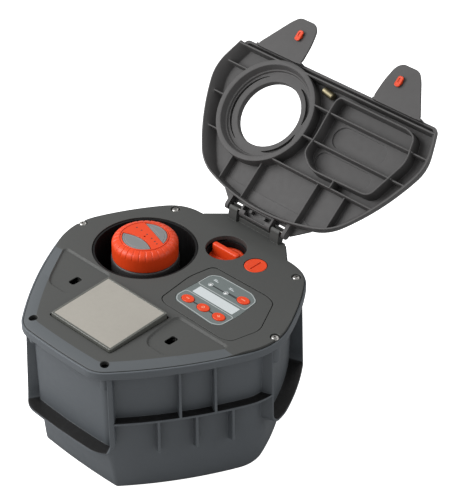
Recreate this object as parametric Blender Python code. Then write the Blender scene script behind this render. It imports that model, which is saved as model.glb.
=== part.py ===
"""Self-contained irrigation controller: a six-cornered tub with a screwed deck, a pop-up
sprinkler head in a round well, a raised solar window, a control plate with four buttons,
a filter cap, a slotted drain plug and a ribbed lid on two hinge pins, held by two
quarter-turn locks.

Built in metres, +Z up, origin on the flat underside of the tub, X across (+X is right),
+Y towards the hinge at the rear.  Every number below is in millimetres or degrees.  The lid
pieces are modelled shut and hang on a pivot that stands them open.
"""
import math

import bmesh
import bpy
from mathutils import Matrix, Vector

METRES_PER_MM = 0.001

# ================================================================== shared dimensions
# heights
DECK_Z = 155.0            # deck surface above the tub's underside
RIM_TOP = 152.4           # top of the tub's rim lip
RIM_LOW = 144.0           # underside of the rim
LEDGE_Z = 148.6           # ledge the deck plate is screwed down to
DECK_LOW = LEDGE_Z + 1.9  # underside of the deck plate
CUT_LOW = 140.0           # tools that go right through the deck run
CUT_TOP = 170.0           # from CUT_LOW to CUT_TOP

# plan of the rim, anticlockwise from the front left corner; side k runs from corner k to k + 1
RIM_CORNERS = ((-51.0, -152.2), (51.0, -152.2), (142.0, -6.0),
               (84.0, 98.0), (-84.0, 98.0), (-142.0, -6.0))
RIM_BULGE = (1.7, 8.5, 6.0, 1.5, 6.0, 8.5)             # how far each side bows outwards
RIM_ROUND = (12.0, 12.0, 26.0, 22.0, 22.0, 26.0)       # length of each corner's rounding
SIDE_STEPS = (2, 5, 4, 3, 4, 5)
CORNER_STEPS = 4

# sprinkler head and its well
HEAD_X, HEAD_Y = HEAD = (-56.2, 14.0)
WELL_RADIUS = 52.6
WELL_FLOOR = 96.0
RISER_RADIUS = 20.0
RISER_LOW = 24.0
CAP_TOP = DECK_Z + 13.5
CAP_LOW = DECK_Z - 7.6

# filter, water inlet below it, drain plug
FILTER_X, FILTER_Y = FILTER = (1.3, 69.6)
FILTER_POCKET_RADIUS = 20.7
INLET_X, INLET_Z = FILTER_X, 61.0
PLUG_X, PLUG_Y = PLUG = (42.2, 68.6)
PLUG_RADIUS = 11.4

# lid locks, one on each side
LOCK_X, LOCK_Y = 66.0, -69.5
LOCK_ROOF = DECK_Z - 2.8  # roof of the pocket in which a lock's foot turns

# deck screws of the right half: x, y, depth of the seat below the deck
SCREWS_RIGHT = ((49.3, -137.2, 2.6), (132.0, 0.0, 2.4), (83.2, 82.4, 2.4))

# solar window
SOLAR_WIDTH, SOLAR_DEPTH, SOLAR_Y = 81.8, 73.5, -86.0
SOLAR_FRONT_Z, SOLAR_REAR_Z = DECK_Z + 2.8, DECK_Z + 5.6

# controls
BUTTONS = ((33.4, -15.3), (53.8, -15.3), (74.2, -15.3), (73.2, 19.0))
LEDS = ((33.0, 15.8), (53.0, 15.8))
BUTTON_A, BUTTON_B = 7.0, 5.2     # half sizes of the oval buttons
BUTTON_GAP = 0.35
PANEL = [(14.1, -31.4), (9.4, 11.0), (14.6, 38.4), (85.5, 39.7), (96.0, 36.0),
         (115.2, -3.1), (107.5, -33.0), (98.5, -36.6), (22.0, -35.6)]
LABEL = [(21.4, 7.0), (22.0, 27.0), (30.0, 32.5), (72.0, 33.2), (83.5, 27.0),
         (86.2, 0.0), (85.0, -23.5), (77.0, -28.0), (26.0, -25.0), (20.0, -18.0)]

# hinge
HINGE_Y, HINGE_Z = 114.75, DECK_Z + 11.1
HINGE = (0.0, HINGE_Y, HINGE_Z)
LID_OPEN_ANGLE = 139.1

# ================================================================== scene and materials
for old_object in list(bpy.data.objects):
    bpy.data.objects.remove(old_object, do_unlink=True)
SCENE = bpy.context.scene


def material(name, rgb, roughness, metallic=0.0):
    mat = bpy.data.materials.new(name)
    mat.use_nodes = True
    shader = mat.node_tree.nodes["Principled BSDF"]
    shader.inputs["Base Color"].default_value = (*rgb, 1.0)
    shader.inputs["Roughness"].default_value = roughness
    shader.inputs["Metallic"].default_value = metallic
    mat.diffuse_color = (*rgb, 1.0)
    return mat


# base colour, roughness and, for the metals, metallic
FINISHES = {
    "tub_plastic": ((0.098, 0.107, 0.117), 0.55),
    "deck_plastic": ((0.080, 0.080, 0.074), 0.6),
    "lid_plastic": ((0.105, 0.103, 0.103), 0.55),
    "black_plastic": ((0.02, 0.02, 0.022), 0.5),
    "sleeve_plastic": ((0.06, 0.055, 0.058), 0.5),
    "orange_plastic": ((0.86, 0.105, 0.028), 0.38),
    "grey_insert": ((0.23, 0.26, 0.27), 0.6),
    "label_film": ((0.16, 0.19, 0.19), 0.45),
    "bright_steel": ((0.62, 0.60, 0.57), 0.25, 1.0),
    "rubber": ((0.02, 0.02, 0.02), 0.8),
    "solar_film": ((0.39, 0.36, 0.30), 0.3),
    "solar_cell": ((0.03, 0.03, 0.05), 0.35),
    "led_lens": ((0.75, 0.76, 0.74), 0.2),
    "brass": ((0.62, 0.50, 0.26), 0.35, 1.0),
    "circuit_green": ((0.02, 0.16, 0.06), 0.5),
    "battery_wrap": ((0.07, 0.17, 0.24), 0.4),
    "spring_steel": ((0.5, 0.5, 0.5), 0.3, 1.0),
}
MATERIALS = {name: material(name, *values) for name, values in FINISHES.items()}


# ================================================================== plan curves
def arc(centre, radius_a, radius_b, start, end, steps):
    """Points on an ellipse's arc between two angles in degrees, both ends included."""
    points = []
    for i in range(steps + 1):
        angle = math.radians(start + (end - start) * i / steps)
        points.append((centre[0] + radius_a * math.cos(angle),
                       centre[1] + radius_b * math.sin(angle)))
    return points


def oval(centre, half_x, half_y, count=12):
    return [(centre[0] + half_x * math.cos(2 * math.pi * i / count),
             centre[1] + half_y * math.sin(2 * math.pi * i / count)) for i in range(count)]


def circle(centre, radius, count):
    return oval(centre, radius, radius, count)


def rounded(centre, half_x, half_y, radius, steps):
    """Rectangle with rounded corners."""
    x0, x1 = centre[0] - half_x, centre[0] + half_x
    y0, y1 = centre[1] - half_y, centre[1] + half_y
    points = []
    for x, y, start in ((x1 - radius, y0 + radius, -90), (x1 - radius, y1 - radius, 0),
                        (x0 + radius, y1 - radius, 90), (x0 + radius, y0 + radius, 180)):
        points += arc((x, y), radius, radius, start, start + 90, steps)
    return points


def corner_curve(start, corner, end, steps):
    """Quadratic curve from start to end, drawn towards the corner."""
    points = []
    for i in range(steps + 1):
        t = i / steps
        points.append(tuple((1 - t) ** 2 * start + 2 * t * (1 - t) * corner + t * t * end))
    return points


def soften(polygon, reach, steps=3):
    """Polygon with each corner rounded, the rounding starting at the given reach from it."""
    points = []
    for i, here in enumerate(polygon):
        corner = Vector(here)
        before = Vector(polygon[i - 1]) - corner
        after = Vector(polygon[(i + 1) % len(polygon)]) - corner
        length = min(reach, 0.45 * before.length, 0.45 * after.length)
        points += corner_curve(corner + before.normalized() * length, corner,
                               corner + after.normalized() * length, steps)
    return points


def grown(polygon, distance):
    """Polygon with its edges moved away from its middle by a distance."""
    count = len(polygon)
    middle = Vector((sum(p[0] for p in polygon) / count, sum(p[1] for p in polygon) / count))
    points = []
    for i in range(count):
        corner = Vector(polygon[i])
        before, after = Vector(polygon[i - 1]), Vector(polygon[(i + 1) % count])
        edge_in, edge_out = (corner - before).normalized(), (after - corner).normalized()
        normal_in = Vector((edge_in.y, -edge_in.x))
        normal_out = Vector((edge_out.y, -edge_out.x))
        if (corner - middle).dot(normal_in + normal_out) < 0:
            normal_in, normal_out = -normal_in, -normal_out
        mitre = (normal_in + normal_out).normalized()
        points.append(tuple(corner + mitre * (distance / max(mitre.dot(normal_in), 0.4))))
    return points


def mirror_plan(points, side):
    """Plan drawn for the right (side 1), moved to the given side, same sense of rotation."""
    moved = [(side * x, y) for x, y in points]
    return moved if side > 0 else moved[::-1]


def across(side, near, far):
    """Ordered X range between two distances from the middle, on one side."""
    return sorted((side * near, side * far))


def both_sides(places, sides=(1, -1)):
    return [(side * x, *rest) for side in sides for x, *rest in places]


def level(points, z):
    return [(x, y, z) for x, y in points]


# ================================================================== bowed outlines
def side_circle(start, end, bulge):
    """Centre and radius of the circle through two corners that bows out by the bulge."""
    start, end = Vector(start), Vector(end)
    chord = end - start
    length = chord.length
    radius = (length * length / 4 + bulge * bulge) / (2 * bulge)
    inward = Vector((-chord.y, chord.x)) / length
    return (start + end) / 2 + inward * (radius - bulge), radius


def meet(centre_1, radius_1, centre_2, radius_2, near):
    """Crossing of two circles that is closest to a point."""
    between = centre_2 - centre_1
    distance = between.length
    run = (radius_1 * radius_1 - radius_2 * radius_2 + distance * distance) / (2 * distance)
    rise = math.sqrt(max(radius_1 * radius_1 - run * run, 0.0))
    foot = centre_1 + between * (run / distance)
    offset = Vector((-between.y, between.x)) / distance * rise
    return min((foot + offset, foot - offset), key=lambda point: (point - near).length)


def outline(inset=0.0, corners=RIM_CORNERS, bulge=RIM_BULGE, rounding=RIM_ROUND,
            side_steps=SIDE_STEPS, corner_steps=CORNER_STEPS):
    """Closed plan curve: arcs between rounded corners, offset inwards.

    The inset is one number, or a tuple with one number per side.
    """
    tips = [Vector(corner) for corner in corners]
    count = len(tips)
    insets = inset if isinstance(inset, tuple) else (inset,) * count
    circles = [side_circle(tips[i], tips[(i + 1) % count], bulge[i]) for i in range(count)]
    circles = [(centre, radius - step) for (centre, radius), step in zip(circles, insets)]
    inner_tips = [meet(*circles[i - 1], *circles[i], tips[i]) for i in range(count)]
    reach = []
    for i in range(count):
        turn = (tips[i] - tips[i - 1]).angle(tips[(i + 1) % count] - tips[i])
        shift = (insets[i - 1] + insets[i]) / 2 * math.tan(turn / 2)
        reach.append(max(rounding[i] - shift, 2.0))

    def along(side, start, distance):
        centre, radius = circles[side]
        angle = math.atan2(start.y - centre.y, start.x - centre.x) + distance / radius
        return centre + radius * Vector((math.cos(angle), math.sin(angle)))

    points = []
    for i in range(count):
        leave = along(i, inner_tips[i], reach[i])
        points += corner_curve(along(i - 1, inner_tips[i], -reach[i]), inner_tips[i], leave,
                               corner_steps)
        centre, radius = circles[i]
        following = (i + 1) % count
        end = along(i, inner_tips[following], -reach[following])
        angle_0 = math.atan2(leave.y - centre.y, leave.x - centre.x)
        angle_1 = math.atan2(end.y - centre.y, end.x - centre.x)
        while angle_1 < angle_0:
            angle_1 += 2 * math.pi
        for j in range(1, side_steps[i]):
            angle = angle_0 + (angle_1 - angle_0) * j / side_steps[i]
            points.append((centre.x + radius * math.cos(angle),
                           centre.y + radius * math.sin(angle)))
    return points


# ================================================================== solids
def recalculate_normals(mesh, weld=False):
    work = bmesh.new()
    work.from_mesh(mesh)
    if weld:
        bmesh.ops.remove_doubles(work, verts=work.verts, dist=2e-6)
        bmesh.ops.dissolve_degenerate(work, edges=work.edges, dist=1e-6)
    bmesh.ops.recalc_face_normals(work, faces=work.faces)
    work.to_mesh(mesh)
    work.free()


def loft(rings, closed=False):
    """Solid through rings of equal count; capped at both ends, or closed on itself."""
    count = len(rings[0])
    faces = []
    for band in range(len(rings) if closed else len(rings) - 1):
        low, high = band * count, ((band + 1) % len(rings)) * count
        for i in range(count):
            j = (i + 1) % count
            faces.append((low + i, low + j, high + j, high + i))
    if not closed:
        faces.append(tuple(range(count - 1, -1, -1)))
        faces.append(tuple((len(rings) - 1) * count + i for i in range(count)))
    scale = METRES_PER_MM
    mesh = bpy.data.meshes.new("tmp")
    mesh.from_pydata([(x * scale, y * scale, z * scale) for ring in rings for x, y, z in ring],
                     [], faces)
    mesh.update()
    recalculate_normals(mesh)
    obj = bpy.data.objects.new("tmp", mesh)
    SCENE.collection.objects.link(obj)
    return obj


def prism(plan, z0, z1):
    return loft([level(plan, z0), level(plan, z1)])


def box(x0, x1, y0, y1, z0, z1):
    return prism([(x0, y0), (x1, y0), (x1, y1), (x0, y1)], z0, z1)


def cylinder(centre, radius, z0, z1, count):
    return prism(circle(centre, radius, count), z0, z1)


def revolve(centre, profile, count, closed=False):
    """Solid about a vertical axis through (radius, z) pairs; closed makes it a ring."""
    return loft([level(circle(centre, radius, count), z) for radius, z in profile], closed)


def prism_x(profile, x0, x1):
    """Prism along X from a (y, z) polygon."""
    return loft([[(x, y, z) for y, z in profile] for x in (x0, x1)])


def cylinder_x(centre, radius, x0, x1, count=16):
    """Cylinder along X; centre is (y, z)."""
    return prism_x(circle(centre, radius, count), x0, x1)


def cylinder_y(centre, radius, y0, y1, count):
    """Cylinder along Y; centre is (x, z)."""
    return loft([[(x, y, z) for x, z in circle(centre, radius, count)] for y in (y1, y0)])


def boolean(target, tool, operation):
    """Apply the tool to the target and delete the tool."""
    modifier = target.modifiers.new("b", "BOOLEAN")
    modifier.operation = operation
    modifier.solver = "EXACT"
    modifier.object = tool
    depsgraph = bpy.context.evaluated_depsgraph_get()
    mesh = bpy.data.meshes.new_from_object(target.evaluated_get(depsgraph))
    target.modifiers.remove(modifier)
    old_mesh, tool_mesh = target.data, tool.data
    target.data = mesh
    bpy.data.meshes.remove(old_mesh)
    bpy.data.objects.remove(tool, do_unlink=True)
    bpy.data.meshes.remove(tool_mesh)
    recalculate_normals(mesh, weld=True)


def cut(target, tool):
    boolean(target, tool, "DIFFERENCE")


def add(target, tool):
    boolean(target, tool, "UNION")


def drill(target, centre, radius, count, z0=CUT_LOW, z1=CUT_TOP):
    cut(target, cylinder(centre, radius, z0, z1, count))


# ================================================================== naming and joints
def attach(obj, parent):
    """Parent a piece that is placed in world space."""
    obj.parent = parent
    obj.matrix_parent_inverse = parent.matrix_world.inverted()


def finish(obj, name, finish_name, axis=None, parent=None, smooth=35):
    """Name it, give it its material and put its origin on its joint axis."""
    obj.name = name
    obj.data.name = name
    obj.data.materials.clear()
    own_material = MATERIALS[finish_name].copy()
    own_material.name = name + "_finish"
    obj.data.materials.append(own_material)
    obj["slot"] = finish_name
    obj.data.shade_smooth()
    obj.data.set_sharp_from_angle(angle=math.radians(smooth))
    if axis is not None:
        origin = Vector(axis) * METRES_PER_MM
        obj.data.transform(Matrix.Translation(-origin))
        obj.location = origin
    if parent is not None:
        attach(obj, parent)


def pivot(name, place, turn=0.0, parent=None):
    """Empty on a joint axis, turned about X."""
    empty = bpy.data.objects.new(name, None)
    empty.empty_display_size = 0.02
    SCENE.collection.objects.link(empty)
    empty.location = Vector(place) * METRES_PER_MM
    empty.rotation_euler = (math.radians(turn), 0.0, 0.0)
    if parent is not None:
        attach(empty, parent)
    bpy.context.view_layer.update()
    return empty


# ================================================================== base tub
# Sides 0, 2 and 4 carry hand pocket frames, sides 1, 3 and 5 are ribbed.
# tub wall inwards from the rim outline, one number per side
WALL_TOP = (13.5, 10.5) * 3
WALL_MID = (15.3, 11.8) * 3
WALL_FOOT = (21.5, 14.8, 21.0, 14.8, 21.0, 14.8)
WALL_DEEP = (16.2, 13.0) * 3   # how far ribs and frames reach into the wall
WALL_THICKNESS = 3.0
POCKET_Z = 53.5           # underside of the hand pockets and of the posts
POCKET_RADIUS = 12.0
POCKET_STRIP = 2.8        # thickness of the pocket frame
FLANGE_Z = 88.0           # underside of the mid flange on ribbed faces
LEAN = 3.4                # posts and ribs lean in by this much from foot to rim
RIB_HALF = 1.25
UPPER_RIBS = (0.40, 0.62)                 # places as fractions of the face
LOWER_RIBS = (0.265, 0.50, 0.73)
LOWER_RIBS_REAR = (0.2, 0.8)              # these leave room for the water inlet

# number of the outline point where each corner starts
CORNER_START = [0]
for side_step in SIDE_STEPS:
    CORNER_START.append(CORNER_START[-1] + CORNER_STEPS + side_step)
POINT_COUNT = CORNER_START.pop()

# post positions as outline point numbers, one per corner
POSTS = [CORNER_START[0] - 0.17, CORNER_START[1] + CORNER_STEPS + 0.17, CORNER_START[2] + 2.0,
         CORNER_START[3] + 0.6, CORNER_START[4] + CORNER_STEPS - 0.6, CORNER_START[5] + 2.0]


def between_points(ring, number):
    """Point at a fractional point number of a ring."""
    whole = math.floor(number)
    t = number - whole
    a, b = ring[whole % POINT_COUNT], ring[(whole + 1) % POINT_COUNT]
    return a[0] + (b[0] - a[0]) * t, a[1] + (b[1] - a[1]) * t


def rim_point(number, inset):
    return between_points(outline(inset), number)


def face_span(face):
    """Point numbers of the two posts that bound a face."""
    start, end = POSTS[face], POSTS[(face + 1) % 6]
    return start, end + POINT_COUNT if end < start else end


def rim_fraction(start, end, fraction):
    """Point number at a fraction of the length of the rim from start to end."""
    ring, steps = outline(0.4), 80
    path = [between_points(ring, start + (end - start) * i / steps) for i in range(steps + 1)]
    run = [0.0]
    for here, following in zip(path, path[1:]):
        run.append(run[-1] + math.dist(here, following))
    goal = fraction * run[-1]
    i = next(i for i in range(steps) if run[i + 1] >= goal)
    return start + (end - start) * (i + (goal - run[i]) / (run[i + 1] - run[i])) / steps


def lean(z):
    """Inset of the outer edge of posts and ribs at height z."""
    return 0.3 + LEAN * min(max((z - POCKET_Z) / (RIM_LOW - POCKET_Z), 0.0), 1.0)


def deeper(insets, distance):
    return tuple(inset + distance for inset in insets)


def tub_shell():
    """Wall, floor and rim: up the outside, over the lip and back down the inside."""
    wall_top_in = outline(deeper(WALL_TOP, WALL_THICKNESS))
    return loft([
        level(outline(deeper(WALL_FOOT, 3.0)), 0.0),
        level(outline(WALL_FOOT), 3.4),
        level(outline(WALL_MID), POCKET_Z),
        level(outline(WALL_TOP), RIM_LOW),
        level(outline(0.8), RIM_LOW + 0.01),
        level(outline(), RIM_LOW + 1.4),
        level(outline(), RIM_TOP),
        level(outline(1.9), RIM_TOP),
        level(outline(1.9), LEDGE_Z),
        level(wall_top_in, LEDGE_Z - 0.01),
        level(wall_top_in, RIM_LOW),
        level(outline(deeper(WALL_MID, WALL_THICKNESS)), POCKET_Z),
        level(outline(deeper(WALL_FOOT, WALL_THICKNESS)), 4.0),
    ])


def pocket_path(length, offset):
    """U of (distance along the face, z): down a post, along the floor, up the next post."""
    radius = POCKET_RADIUS - offset
    top, bend = RIM_LOW + 1.0, POCKET_Z + offset + radius
    angles = [math.radians(90 * i / 4) for i in range(1, 4)]
    path = [(offset, top), (offset, bend)]
    path += [(offset + radius - radius * math.cos(q), bend - radius * math.sin(q))
             for q in angles]
    path += [(POCKET_RADIUS + (length - 2 * POCKET_RADIUS) * i / 5, POCKET_Z + offset)
             for i in range(6)]
    path += [(length - offset - radius + radius * math.sin(q), bend - radius * math.cos(q))
             for q in angles]
    return path + [(length - offset, bend), (length - offset, top)]


def pocket_frame(face):
    """Thin U-shaped strip round the hand pocket of a face."""
    start, end = face_span(face)
    length = math.dist(rim_point(start, 0), rim_point(end, 0))

    def place(point, inset):
        distance, z = point
        return (*rim_point(start + (end - start) * distance / length, inset), z)

    return loft([[place(outer, lean(outer[1])), place(inner, lean(inner[1])),
                  place(inner, WALL_DEEP), place(outer, WALL_DEEP)]
                 for outer, inner in zip(pocket_path(length, 0.0),
                                         pocket_path(length, POCKET_STRIP))])


def rib(number, z0, z1, foot=0.0):
    """Upright plate from the wall to the outline; its foot may run down along the wall."""
    x_out, y_out = rim_point(number, 0.0)
    x_in, y_in = rim_point(number, WALL_DEEP)
    inward = Vector((x_in - x_out, y_in - y_out))
    depth = inward.length
    inward.normalize()
    half = Vector((-inward.y, inward.x)) * RIB_HALF
    profile = [(lean(z1) + 0.2, z1), (lean(z0) + 0.2, z0), (depth - 1.0, z0 - foot),
               (depth, z0 - foot), (depth, z1)]
    return loft([[(x_out + inward.x * q + sign * half.x, y_out + inward.y * q + sign * half.y, z)
                  for q, z in profile] for sign in (-1, 1)])


def add_ribbed_face(tub, face):
    """Mid flange with ribs above and below it."""
    start, end = face_span(face)
    numbers = [start + (end - start) * i / 8 for i in range(9)]
    outer = [rim_point(number, lean(FLANGE_Z) + 0.1) for number in numbers]
    inner = [rim_point(number, WALL_DEEP) for number in numbers]
    add(tub, prism(outer + inner[::-1], FLANGE_Z, FLANGE_Z + 2.5))
    for fraction in UPPER_RIBS:
        add(tub, rib(rim_fraction(start, end, fraction), FLANGE_Z + 1.0, RIM_LOW + 1.0))
    for fraction in (LOWER_RIBS_REAR if face == 3 else LOWER_RIBS):
        add(tub, rib(rim_fraction(start, end, fraction), POCKET_Z - 1.3, FLANGE_Z + 1.0,
                     foot=6.0))


def build_base_tub():
    tub = tub_shell()
    for face in (0, 2, 4):
        add(tub, pocket_frame(face))
    for face in (1, 3, 5):
        add_ribbed_face(tub, face)
    # hinge shelf at the rear, and the seat for the deck's tongue in it
    shelf = [(-58.2, 97.6), (58.2, 97.6), (39.0, 116.0), (-39.0, 116.0)]
    add(tub, prism(shelf, RIM_LOW + 0.4, RIM_TOP - 0.2))
    seat = [(-57.6, 80.0), (57.6, 80.0), (57.2, 97.0), (38.4, 114.2), (-38.4, 114.2),
            (-57.2, 97.0)]
    cut(tub, prism(seat, LEDGE_Z, CUT_TOP))
    # screw bosses
    for x, y, _ in both_sides(SCREWS_RIGHT):
        add(tub, cylinder((x, y), 5.0, 128.0, LEDGE_Z - 0.02, 14))
    for x, y, _ in both_sides(SCREWS_RIGHT):
        drill(tub, (x, y), 2.2, 10, z0=131.0)
    # the rear wall swells round the filter pocket
    add(tub, revolve(FILTER, [(17.0, 106.0), (25.0, 120.0), (25.0, RIM_LOW + 0.6)], 24))
    cut(tub, revolve(FILTER, [(14.6, 100.0), (14.6, 107.0), (22.6, 121.0), (22.6, CUT_TOP)], 24))
    # inlet opening in the rear wall
    cut(tub, cylinder_y((INLET_X, INLET_Z), 13.9, 60.0, 110.0, 24))
    finish(tub, "base_tub", "tub_plastic")


# ================================================================== deck
DECK_INSET = 2.3
DECK_TONGUE = [(-57.2, 90.0), (57.2, 90.0), (56.8, 97.0), (38.0, 115.4), (-38.0, 115.4),
               (-56.8, 97.0)]
TAB_RECESS = [(46.3, -41.8), (47.2, -66.0), (50.4, -83.0), (56.6, -89.6), (79.4, -89.6),
              (87.0, -81.4), (112.0, -41.8)]          # right side
HOOK_SLOT = 2.25          # radius of the slot for the hinge pin


def build_deck_seal():
    outer, inner = (outline(inset, side_steps=(1, 3, 3, 2, 3, 3), corner_steps=3)
                    for inset in (7.8, 13.4))
    low, top = LEDGE_Z + 0.3, LEDGE_Z + 1.5
    seal = loft([level(outer, low), level(outer, top), level(inner, top), level(inner, low)],
                closed=True)
    for x, y, _ in both_sides(SCREWS_RIGHT):
        drill(seal, (x, y), 2.4, 10)
    drill(seal, FILTER, FILTER_POCKET_RADIUS + 0.1, 24)
    finish(seal, "deck_seal", "rubber")


def deck_drop(y):
    """The border of the deck falls away along the front, ahead of the lid."""
    return 2.0 * min(max((-42.0 - y) / 4.0, 0.0), 1.0)


def hinge_hook(side):
    """Hook on the shelf, open at the top so that the pin shows."""
    x0, x1 = across(side, 23.0, 34.0)
    profile = [(108.9, DECK_Z - 1.5), (115.2, DECK_Z - 1.5)]
    profile += arc((HINGE_Y, HINGE_Z), 5.0, 4.4, -40, 190, 8)
    profile.append((108.9, DECK_Z + 6.0))
    hook = prism_x(profile, x0, x1)
    cut(hook, cylinder_x((HINGE_Y, HINGE_Z), HOOK_SLOT, x0 - 1, x1 + 1, 12))
    cut(hook, box(x0 - 1, x1 + 1, HINGE_Y - HOOK_SLOT, HINGE_Y + HOOK_SLOT, HINGE_Z,
                  HINGE_Z + 9))
    return hook


def shape_lock_place(deck, side):
    """Tab recess with the lock's foot pocket, L-shaped catch and keyhole."""
    x = side * LOCK_X
    cut(deck, prism(mirror_plan(soften(TAB_RECESS, 5.0), side), DECK_Z - 1.8, CUT_TOP))
    drill(deck, (x, LOCK_Y), 7.4, 20, z1=LOCK_ROOF)
    catch = box(x - 3.4, x - 0.4, LOCK_Y - 0.6, LOCK_Y + 8.8, 147.6, 149.9)
    add(catch, box(x - 3.4, x - 0.4, LOCK_Y + 7.6, LOCK_Y + 8.8, 148.2, 151.4))
    add(deck, catch)
    cut(deck, prism(rounded((x, LOCK_Y), 3.9, 6.4, 2.5, 3), CUT_LOW, CUT_TOP))


def cut_control_holes(target, gap, led_radius, led_sides):
    """Openings for the buttons, with a gap round each, and for the light pipes."""
    for button in BUTTONS:
        cut(target, prism(oval(button, BUTTON_A + gap, BUTTON_B + gap), CUT_LOW, CUT_TOP))
    for led in LEDS:
        drill(target, led, led_radius, led_sides)


def build_deck_plate():
    edge = outline(DECK_INSET)
    deck = loft([
        level(edge, DECK_LOW),
        [(x, y, DECK_Z - deck_drop(y)) for x, y in edge],
        level(outline(14.0), DECK_Z),
    ])
    add(deck, prism(DECK_TONGUE, RIM_TOP + 0.1, DECK_Z - 0.001))
    for side in (1, -1):
        add(deck, hinge_hook(side))
    # well, filter pocket, plug seat
    drill(deck, HEAD, WELL_RADIUS, 44)
    drill(deck, FILTER, FILTER_POCKET_RADIUS, 26)
    add(deck, cylinder(PLUG, 13.6, 136.0, DECK_LOW + 1.0, 18))
    drill(deck, PLUG, PLUG_RADIUS + 0.5, 22, z0=150.8)
    drill(deck, PLUG, 8.4, 16, z0=130.0)
    for side in (1, -1):
        shape_lock_place(deck, side)
    # solar seat and the wire hole under it
    cut(deck, prism(rounded((0, SOLAR_Y), 42.1, 38.0, 2.0, 3), DECK_Z - 2.2, CUT_TOP))
    drill(deck, (0, SOLAR_Y), 3.0, 12)
    # control plate seat
    cut(deck, prism(soften(grown(PANEL, 0.5), 7.0, 4), DECK_Z - 2.0, CUT_TOP))
    cut_control_holes(deck, 1.2, 2.2, 8)
    for x, y, depth in both_sides(SCREWS_RIGHT):
        drill(deck, (x, y), 4.7, 14, z0=DECK_Z - depth)
        drill(deck, (x, y), 2.3, 8)
    finish(deck, "deck_plate", "deck_plastic")


def build_deck_screws():
    places = both_sides(SCREWS_RIGHT, sides=(-1, 1))
    for number, (x, y, depth) in enumerate(places, start=1):
        head = DECK_Z - depth + 0.3
        screw = revolve((x, y), [(1.8, 133.0), (1.8, head), (3.9, head), (3.9, head + 0.9),
                                 (2.6, head + 2.1)], 10)
        cut(screw, cylinder((x, y), 1.3, head + 0.9, head + 5, 6))
        finish(screw, "deck_screw_%d" % number, "bright_steel")


# ================================================================== solar window and cell
SOLAR_LOW = DECK_Z - 1.9
CELL_A, CELL_B = 37.0, 32.8       # half sizes of the cell
CELL_GAP = 0.5


def solar_top(y):
    """Height of the sloping window at y."""
    front = SOLAR_Y - SOLAR_DEPTH / 2
    return SOLAR_FRONT_Z + (SOLAR_REAR_Z - SOLAR_FRONT_Z) * (y - front) / SOLAR_DEPTH


def build_solar_window():
    centre, half_x, half_y = (0, SOLAR_Y), SOLAR_WIDTH / 2, SOLAR_DEPTH / 2
    edge = rounded(centre, half_x, half_y, 1.6, 3)
    top = rounded(centre, half_x - 0.8, half_y - 0.8, 1.2, 3)
    window = loft([level(edge, SOLAR_LOW), [(x, y, solar_top(y) - 0.7) for x, y in edge],
                   [(x, y, solar_top(y)) for x, y in top]])
    pocket_a, pocket_b = CELL_A + CELL_GAP, CELL_B + CELL_GAP
    cut(window, box(-pocket_a, pocket_a, SOLAR_Y - pocket_b, SOLAR_Y + pocket_b,
                    SOLAR_LOW - 3, SOLAR_LOW + 1.5))
    finish(window, "solar_window", "solar_film")
    finish(box(-CELL_A, CELL_A, SOLAR_Y - CELL_B, SOLAR_Y + CELL_B,
               SOLAR_LOW + 0.1, SOLAR_LOW + 1.1), "solar_cell", "solar_cell")


# ================================================================== controls
BOARD_TOP = 141.0


def build_control_plate():
    plate = prism(soften(PANEL, 7.0, 4), DECK_Z - 1.7, DECK_Z - 0.2)
    cut(plate, prism(soften(grown(LABEL, 0.35), 4.0, 2), DECK_Z - 0.9, CUT_TOP))
    cut_control_holes(plate, BUTTON_GAP, 1.9, 10)
    finish(plate, "control_plate", "deck_plastic")


def build_control_label():
    label = prism(soften(LABEL, 4.0, 2), DECK_Z - 0.6, DECK_Z - 0.1)
    cut_control_holes(label, BUTTON_GAP, 1.9, 10)
    finish(label, "control_label", "label_film")


def build_buttons():
    """Oval buttons, each on a thin stem that reaches down to the circuit board."""
    for number, place in enumerate(BUTTONS, start=1):
        stem = circle(place, 1.6, 12)
        body = oval(place, BUTTON_A, BUTTON_B)
        crown = oval(place, BUTTON_A - 1.2, BUTTON_B - 1.0)
        button = loft([level(stem, BOARD_TOP + 1.3), level(stem, DECK_Z - 5.6),
                       level(body, DECK_Z - 5.59), level(body, DECK_Z + 0.4),
                       level(crown, DECK_Z + 0.9)])
        finish(button, "button_%d" % number, "orange_plastic", axis=(*place, DECK_Z))


def build_led_pipes():
    for number, place in enumerate(LEDS, start=1):
        pipe = revolve(place, [(1.5, BOARD_TOP + 0.4), (1.5, DECK_Z - 0.3), (0.9, DECK_Z + 0.2)],
                       10)
        finish(pipe, "led_pipe_%d" % number, "led_lens")


def build_circuit_board():
    board = box(16, 104, -31, 33, BOARD_TOP - 1.6, BOARD_TOP)
    # two blocks on the underside, a switch under each button
    add(board, box(28, 52, -8, 8, BOARD_TOP - 4.2, BOARD_TOP - 1.0))
    add(board, box(66, 84, -6, 6, BOARD_TOP - 3.6, BOARD_TOP - 1.0))
    for x, y in BUTTONS:
        add(board, box(x - 3, x + 3, y - 3, y + 3, BOARD_TOP - 0.5, BOARD_TOP + 0.4))
    finish(board, "circuit_board", "circuit_green")


# ================================================================== well and water parts
BODY_RADIUS = 28.0
BODY_BORE = BODY_RADIUS - 2.6
# (radius, z) up the outside and down the inside of the filter housing
HOUSING = [(10.4, 46.0), (10.4, 66.0), (12.4, 72.0), (12.4, 126.0), (21.8, 132.0),
           (21.8, LEDGE_Z - 0.1), (19.9, LEDGE_Z - 0.1), (19.9, 133.0), (10.6, 127.0),
           (10.6, 73.0), (8.8, 67.0), (8.8, 48.0)]
VALVE = (-24.0, 46.0)
FILTER_CAP_Z = 137.0


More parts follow.
